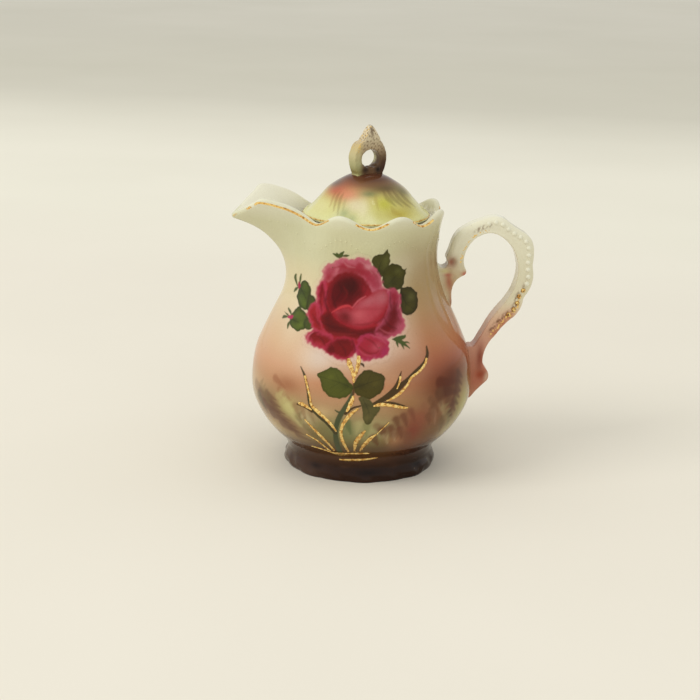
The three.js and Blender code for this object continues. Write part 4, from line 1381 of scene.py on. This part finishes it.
def lid_dome():
    radii = np.linspace(0, 26.0, 72)
    dome = [(r, float(smooth(LID_OUTLINE, r))) for r in radii]
    edge = [(26.4, 108.7), (26.55, 108.2), (26.4, 107.6), (26.0, 107.2), (25.4, LID_SEAT)]
    roof = [(17.9, LID_SEAT), (17.7, 111.2), (17, 114.4), (14, 117.8), (9, 120.6), (4, 121.9), (0, 122.4)]
    lid = turned("porcelain_lid", dome + edge + roof, 256)
    points = about_axis(lid)
    bearing, z = bearing_of(points), points[:, 2].copy()
    top = points[:, 2] > np.interp(np.hypot(points[:, 0], points[:, 1]), *np.array(LID_OUTLINE).T) - 1.2
    facet = np.abs(np.cos(np.radians(4 * (bearing + FRONT_TURN)))) * top
    facet *= step(107.4, 110.5, z) * (1 - step(114, 120, z))
    points[:, :2] *= 1 - 0.022 * facet[:, None]
    points[:, 0] += AXIS_X / MM
    move_points(lid, points * MM)
    rgb = airbrush(blend_bands(LID_BANDS, z), fold_back(bearing), z, LID_CLOUDS, LID_STROKES)
    rgb = np.where(top[:, None], rgb, linear((232, 230, 210)))
    colour_points(lid, rgb)
    glaze = painted_glaze("glaze_lid", speckle=0.9)
    return keep(lid, "lid", glaze, replaces=("lid_dome",))


def lid_collar():
    profile = [
        (18.4, 106.9), (18.4, 102.2), (18.9, 101.6), (20.3, 101.6), (20.8, 102.2), (20.8, 106.9),
        (18.4, 106.9),
    ]
    collar = turned("porcelain_lid_collar", profile, 96)
    glaze = plain_glaze("glaze_collar", (226, 222, 206))
    return keep(collar, "lid", glaze, replaces=("lid_collar",))


LEDGE_OPENING = 21.6
LEDGE_REACH = 29.5  # the most that its outer edge goes into the wall
LEDGE_HALF_GAP = 33  # degrees either side of the spout


def lid_ledge():
    """The ledge inside the neck, open behind the spout."""
    node_low, node_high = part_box("lid_gallery")
    bottom, top = node_low.z / MM, node_high.z / MM

    def place(u, v):
        theta = np.radians(180 + LEDGE_HALF_GAP + (360 - 2 * LEDGE_HALF_GAP) * u)
        neck, _ = wall_point(from_spout(theta), np.full_like(theta, 105.0), WALL)
        far = np.minimum(neck + 0.3, LEDGE_REACH)
        corner = np.rint(v * 4).astype(int)
        r = np.choose(corner, [LEDGE_OPENING, LEDGE_OPENING, far, far, LEDGE_OPENING])
        z = np.choose(corner, [top, bottom, bottom, top, top])
        return r * np.cos(theta), r * np.sin(theta), z

    ledge = sheet_of("porcelain_seat_ledge", place, 120, 4)
    only(ledge)
    bpy.ops.object.mode_set(mode="EDIT")
    bpy.ops.mesh.select_all(action="SELECT")
    bpy.ops.mesh.remove_doubles(threshold=WELD)
    bpy.ops.mesh.fill_holes(sides=0)
    bpy.ops.mesh.select_all(action="SELECT")
    bpy.ops.mesh.normals_make_consistent(inside=False)
    bpy.ops.object.mode_set(mode="OBJECT")
    apply(ledge, "BEVEL", width=0.35 * MM, segments=2, limit_method="ANGLE")
    glaze = plain_glaze("glaze_ledge", (228, 225, 208))
    return keep(ledge, "jug", glaze, replaces=("lid_gallery",))


FINIAL_TURN = 30
# Half width of the pierced knob at each height, seen square on.
FINIAL_HALF = [
    (122.9, 6.0), (124.9, 6.1), (127, 7.0), (130.5, 7.8), (133, 7.7), (136, 6.6), (138, 5.2), (138.7, 4.2),
    (139.8, 4.0), (141, 3.2), (142.6, 2.3), (143.9, 1.3), (144.9, 0.4),
]
# Its eye: middle beside the axis, middle height, half width, half height.
FINIAL_EYE = (0.1, 131.2, 4.6, 3.9)
# Scrolls round the eye and swellings under the leaf: x, height, radius, how far it stands out.
FINIAL_SCROLLS = [
    (-3.4, 127.4, 1.7, 1.6), (0.4, 126.6, 1.5, 1.9), (3.8, 127.2, 1.8, 1.6),
    (-3.4, 134.4, 1.4, 1.7), (0.2, 139.4, 2.3, 1.25), (0.0, 143, 1.3, 1.2),
]
FINIAL_FACE = [
    (123, (120, 84, 52)), (127, (108, 80, 54)), (131, (140, 116, 84)), (135, (176, 156, 124)),
    (139, (206, 192, 160)), (143, (222, 208, 178)),
]
FINIAL_FLANK = [
    (123, (206, 206, 150)), (126, (146, 138, 84)), (129, (180, 178, 130)), (133, (196, 186, 140)),
    (138, (206, 184, 130)), (142, (222, 204, 158)), (145, (240, 234, 212)),
]
FINIAL_SPOTS = [
    ((6.4, 128), (2.8, 6), (62, 34, 22), 0.92, 0),
    ((3.6, 126.6), (1.6, 1.6), (24, 16, 14), 0.9, 0),
    ((-2.6, 126.8), (1.8, 1.6), (44, 26, 16), 0.9, 0),
    ((0.7, 143), (0.7, 2.6), (74, 44, 22), 0.9, 0),
    ((-0.4, 144.6), (1.2, 1.0), (236, 230, 206), 0.8, 0),
]


def lid_finial():
    """The pierced knob: a thick leaf-tipped plate with an eye through it and small scrolls round it."""
    right = [(half, z) for z, half in FINIAL_HALF]
    outline = rounded(right + [(-half, z) for half, z in reversed(right)], 3)
    plate = slab("porcelain_finial", outline, 2.6)
    eye_x, eye_z, eye_half, eye_rise = FINIAL_EYE
    deselect()
    bpy.ops.mesh.primitive_cylinder_add(vertices=48, radius=MM, depth=12 * MM, rotation=(math.pi / 2, 0, 0),
                                        location=(AXIS_X + eye_x * MM, 0, eye_z * MM))
    bpy.ops.transform.resize(value=(eye_half, 1, eye_rise))
    cutter = bpy.context.object
    apply(plate, "BOOLEAN", operation="DIFFERENCE", object=cutter, solver="EXACT")
    bpy.data.objects.remove(cutter, do_unlink=True)
    scrolls = [plate]
    for x, z, radius, squash in FINIAL_SCROLLS:
        deselect()
        bpy.ops.mesh.primitive_uv_sphere_add(segments=20, ring_count=12, radius=radius * MM,
                                             location=(AXIS_X + x * MM, 0, z * MM))
        bpy.ops.transform.resize(value=(1, squash, 1))
        scrolls.append(bpy.context.object)
    for part in scrolls[1:]:
        only(part)
        bpy.ops.object.transform_apply(location=True, rotation=True, scale=True)
    finial = join(scrolls, "porcelain_finial")
    apply(finial, "REMESH", mode="VOXEL", voxel_size=0.22 * MM, use_smooth_shade=True)
    apply(finial, "SMOOTH", factor=0.5, iterations=7)
    points = about_axis(finial)
    x, y, z = points.T.copy()
    thin = 1 - 0.45 * step(138, 144.5, z)
    points[:, 0] = x * (1 - 0.1 * step(137.6, 139, z)) + 0.9 * step(137.2, 139.4, z)
    crease = 0.5 * np.exp(-((x - 0.5) / 0.5) ** 2) * step(138, 140.5, z)
    rough = 0.10 * mottle(points, 1.2, 41)
    points[:, 1] = y * thin - np.sign(y) * crease * step(0.6, 1.6, np.abs(y)) + rough
    local = points.copy()
    turn = math.radians(FINIAL_TURN)
    points[:, 0] = local[:, 0] * math.cos(turn) - local[:, 1] * math.sin(turn) + AXIS_X / MM
    points[:, 1] = local[:, 0] * math.sin(turn) + local[:, 1] * math.cos(turn)
    move_points(finial, points * MM)
    colour_points(finial, finial_colour(local))
    x, y, z = local.T
    left_rim = np.exp(-(((x + np.interp(z, *zip(*FINIAL_HALF)) - 0.7) / 1.1) ** 2))
    gild_points(finial, 0.24 * left_rim * step(129.5, 135, z) + 0.2 * step(131, 136, z))
    return keep(finial, "lid", gilded_glaze("glaze_finial"), replaces=("lid_finial",))


def finial_colour(points):
    """Speckled brown and grey faces, an olive left flank, and a dark right foot."""
    x, y, z = points.T
    left = step(3.6, 7, -x - 0.3 * y)[:, None]
    rgb = blend_bands(FINIAL_FACE, z) * (1 - left) + blend_bands(FINIAL_FLANK, z) * left
    rgb = spot_colours(rgb, x, z, FINIAL_SPOTS)
    inner = np.exp(-((np.hypot((x - 4.6) / 1.2, (z - 131) / 3)) ** 2)) * step(-0.5, 1.5, y)
    rgb = rgb * (1 - inner[:, None]) + linear((206, 202, 160)) * inner[:, None]
    grain = (0.75 * step(0.1, 0.8, mottle(points, 0.9, 42)) * step(129, 134, z))[:, None] * (1 - left)
    return rgb * (1 - grain) + linear((98, 70, 44)) * grain


# ---------------------------------------------------------------- floor, light and camera


# Paper sweep, from under the jug to far behind it: its cream with painted shade, darker far behind where
# the light falls off.
FLOOR_PAPER_AND_SHADE = [
    (0.0, (238, 233, 220)), (0.1, (241, 238, 224)), (0.2, (240, 237, 223)), (0.29, (231, 228, 214)),
    (0.38, (215, 212, 198)), (0.51, (213, 210, 196)), (0.7, (214, 211, 198)), (1.0, (218, 215, 203)),
]


def floor():
    deselect()
    bpy.ops.mesh.primitive_plane_add(size=16, location=(0, 0, 0))
    plane = bpy.context.object
    plane.name = "studio_floor"
    material, nodes, links, shader = new_material("floor_paper")
    coords = nodes.new("ShaderNodeTexCoord")
    split = nodes.new("ShaderNodeSeparateXYZ")
    # The ramp is turned so that the painted shade deepens towards the right.
    shade_slant = nodes.new("ShaderNodeMapping")
    shade_slant.inputs["Rotation"].default_value = (0, 0, math.radians(14))
    links.new(coords.outputs["Object"], shade_slant.inputs["Vector"])
    links.new(shade_slant.outputs["Vector"], split.inputs["Vector"])
    reach = nodes.new("ShaderNodeMapRange")
    reach.inputs["From Min"].default_value, reach.inputs["From Max"].default_value = 0.3, 2.6
    links.new(split.outputs["Y"], reach.inputs["Value"])
    # Painted shade: the paper's cream darkens with distance from the jug.
    tint = ramp(nodes, links, reach.outputs["Result"], FLOOR_PAPER_AND_SHADE)
    cloudy = ramp(nodes, links, noise(nodes, links, 3, 3), [(0.3, (250, 250, 249)), (0.7, (255, 255, 255))])
    links.new(mix(nodes, links, "MULTIPLY", 1.0, tint, cloudy), shader.inputs["Base Color"])
    shader.inputs["Roughness"].default_value = 0.9
    shader.inputs["Specular IOR Level"].default_value = 0.1
    plane.data.materials.append(material)


def area_light(name, place, aim, size, power, colour, mirrored):
    lamp = bpy.data.lights.new(name, "AREA")
    lamp.shape = "RECTANGLE"
    lamp.size, lamp.size_y = size
    lamp.energy = power
    lamp.color = linear(colour)
    holder = bpy.data.objects.new(name, lamp)
    holder.location = place
    holder.visible_glossy = mirrored
    holder.rotation_mode = "QUATERNION"
    holder.rotation_quaternion = (Vector(aim) - Vector(place)).to_track_quat("-Z", "Y")
    bpy.context.scene.collection.objects.link(holder)


def lights():
    area_light("key_softbox", (-2.3, -0.9, 2.0), (0, 0.2, 0.0), (1.5, 1.5), 29, (255, 253, 249), False)
    area_light("small_lamp", (0.15, -0.5, 1.3), (0, 0, 0.1), (0.09, 0.09), 0.25, (255, 255, 255), True)
    world = bpy.data.worlds.new("studio")
    world.use_nodes = True
    world.node_tree.nodes["Background"].inputs["Color"].default_value = (*linear((250, 249, 245)), 1)
    world.node_tree.nodes["Background"].inputs["Strength"].default_value = 0.87
    bpy.context.scene.world = world


def camera():
    distance, pitch, roll = 707.2, math.radians(15.8), math.radians(1.5)
    aim = (-5.2, 0, 48.4)  # along the view's own right, depth and height
    turn = -math.radians(FRONT_TURN)
    place = (aim[0], -distance * math.cos(pitch), aim[2] + distance * math.sin(pitch))
    spots = []
    for right, depth, height in (place, aim):
        x = right * math.cos(turn) - depth * math.sin(turn)
        y = right * math.sin(turn) + depth * math.cos(turn)
        spots.append(Vector((x * MM + AXIS_X, y * MM, height * MM)))
    lens = bpy.data.cameras.new("camera")
    lens.lens, lens.sensor_width = 85, 36
    view = bpy.data.objects.new("camera", lens)
    view.location = spots[0]
    view.rotation_mode = "QUATERNION"
    view.rotation_quaternion = (spots[1] - spots[0]).to_track_quat("-Z", "Y") @ Quaternion((0, 0, 1), roll)
    bpy.context.scene.collection.objects.link(view)
    bpy.context.scene.camera = view
    bpy.context.scene.view_settings.view_transform = "Standard"


camera()
lights()
floor()
jug_body()
jug_handle()
lid_ledge()
lid_dome()
lid_collar()
lid_finial()
transfer("rose_transfer", (-66, 44), (54, 102), paint_flower)
transfer("stem_transfer", (-44, 46), (8, 62), paint_stems)
gilded_stems()
rim_pearls()
handle_beading()
rim_gilding()
lid_edge_line()
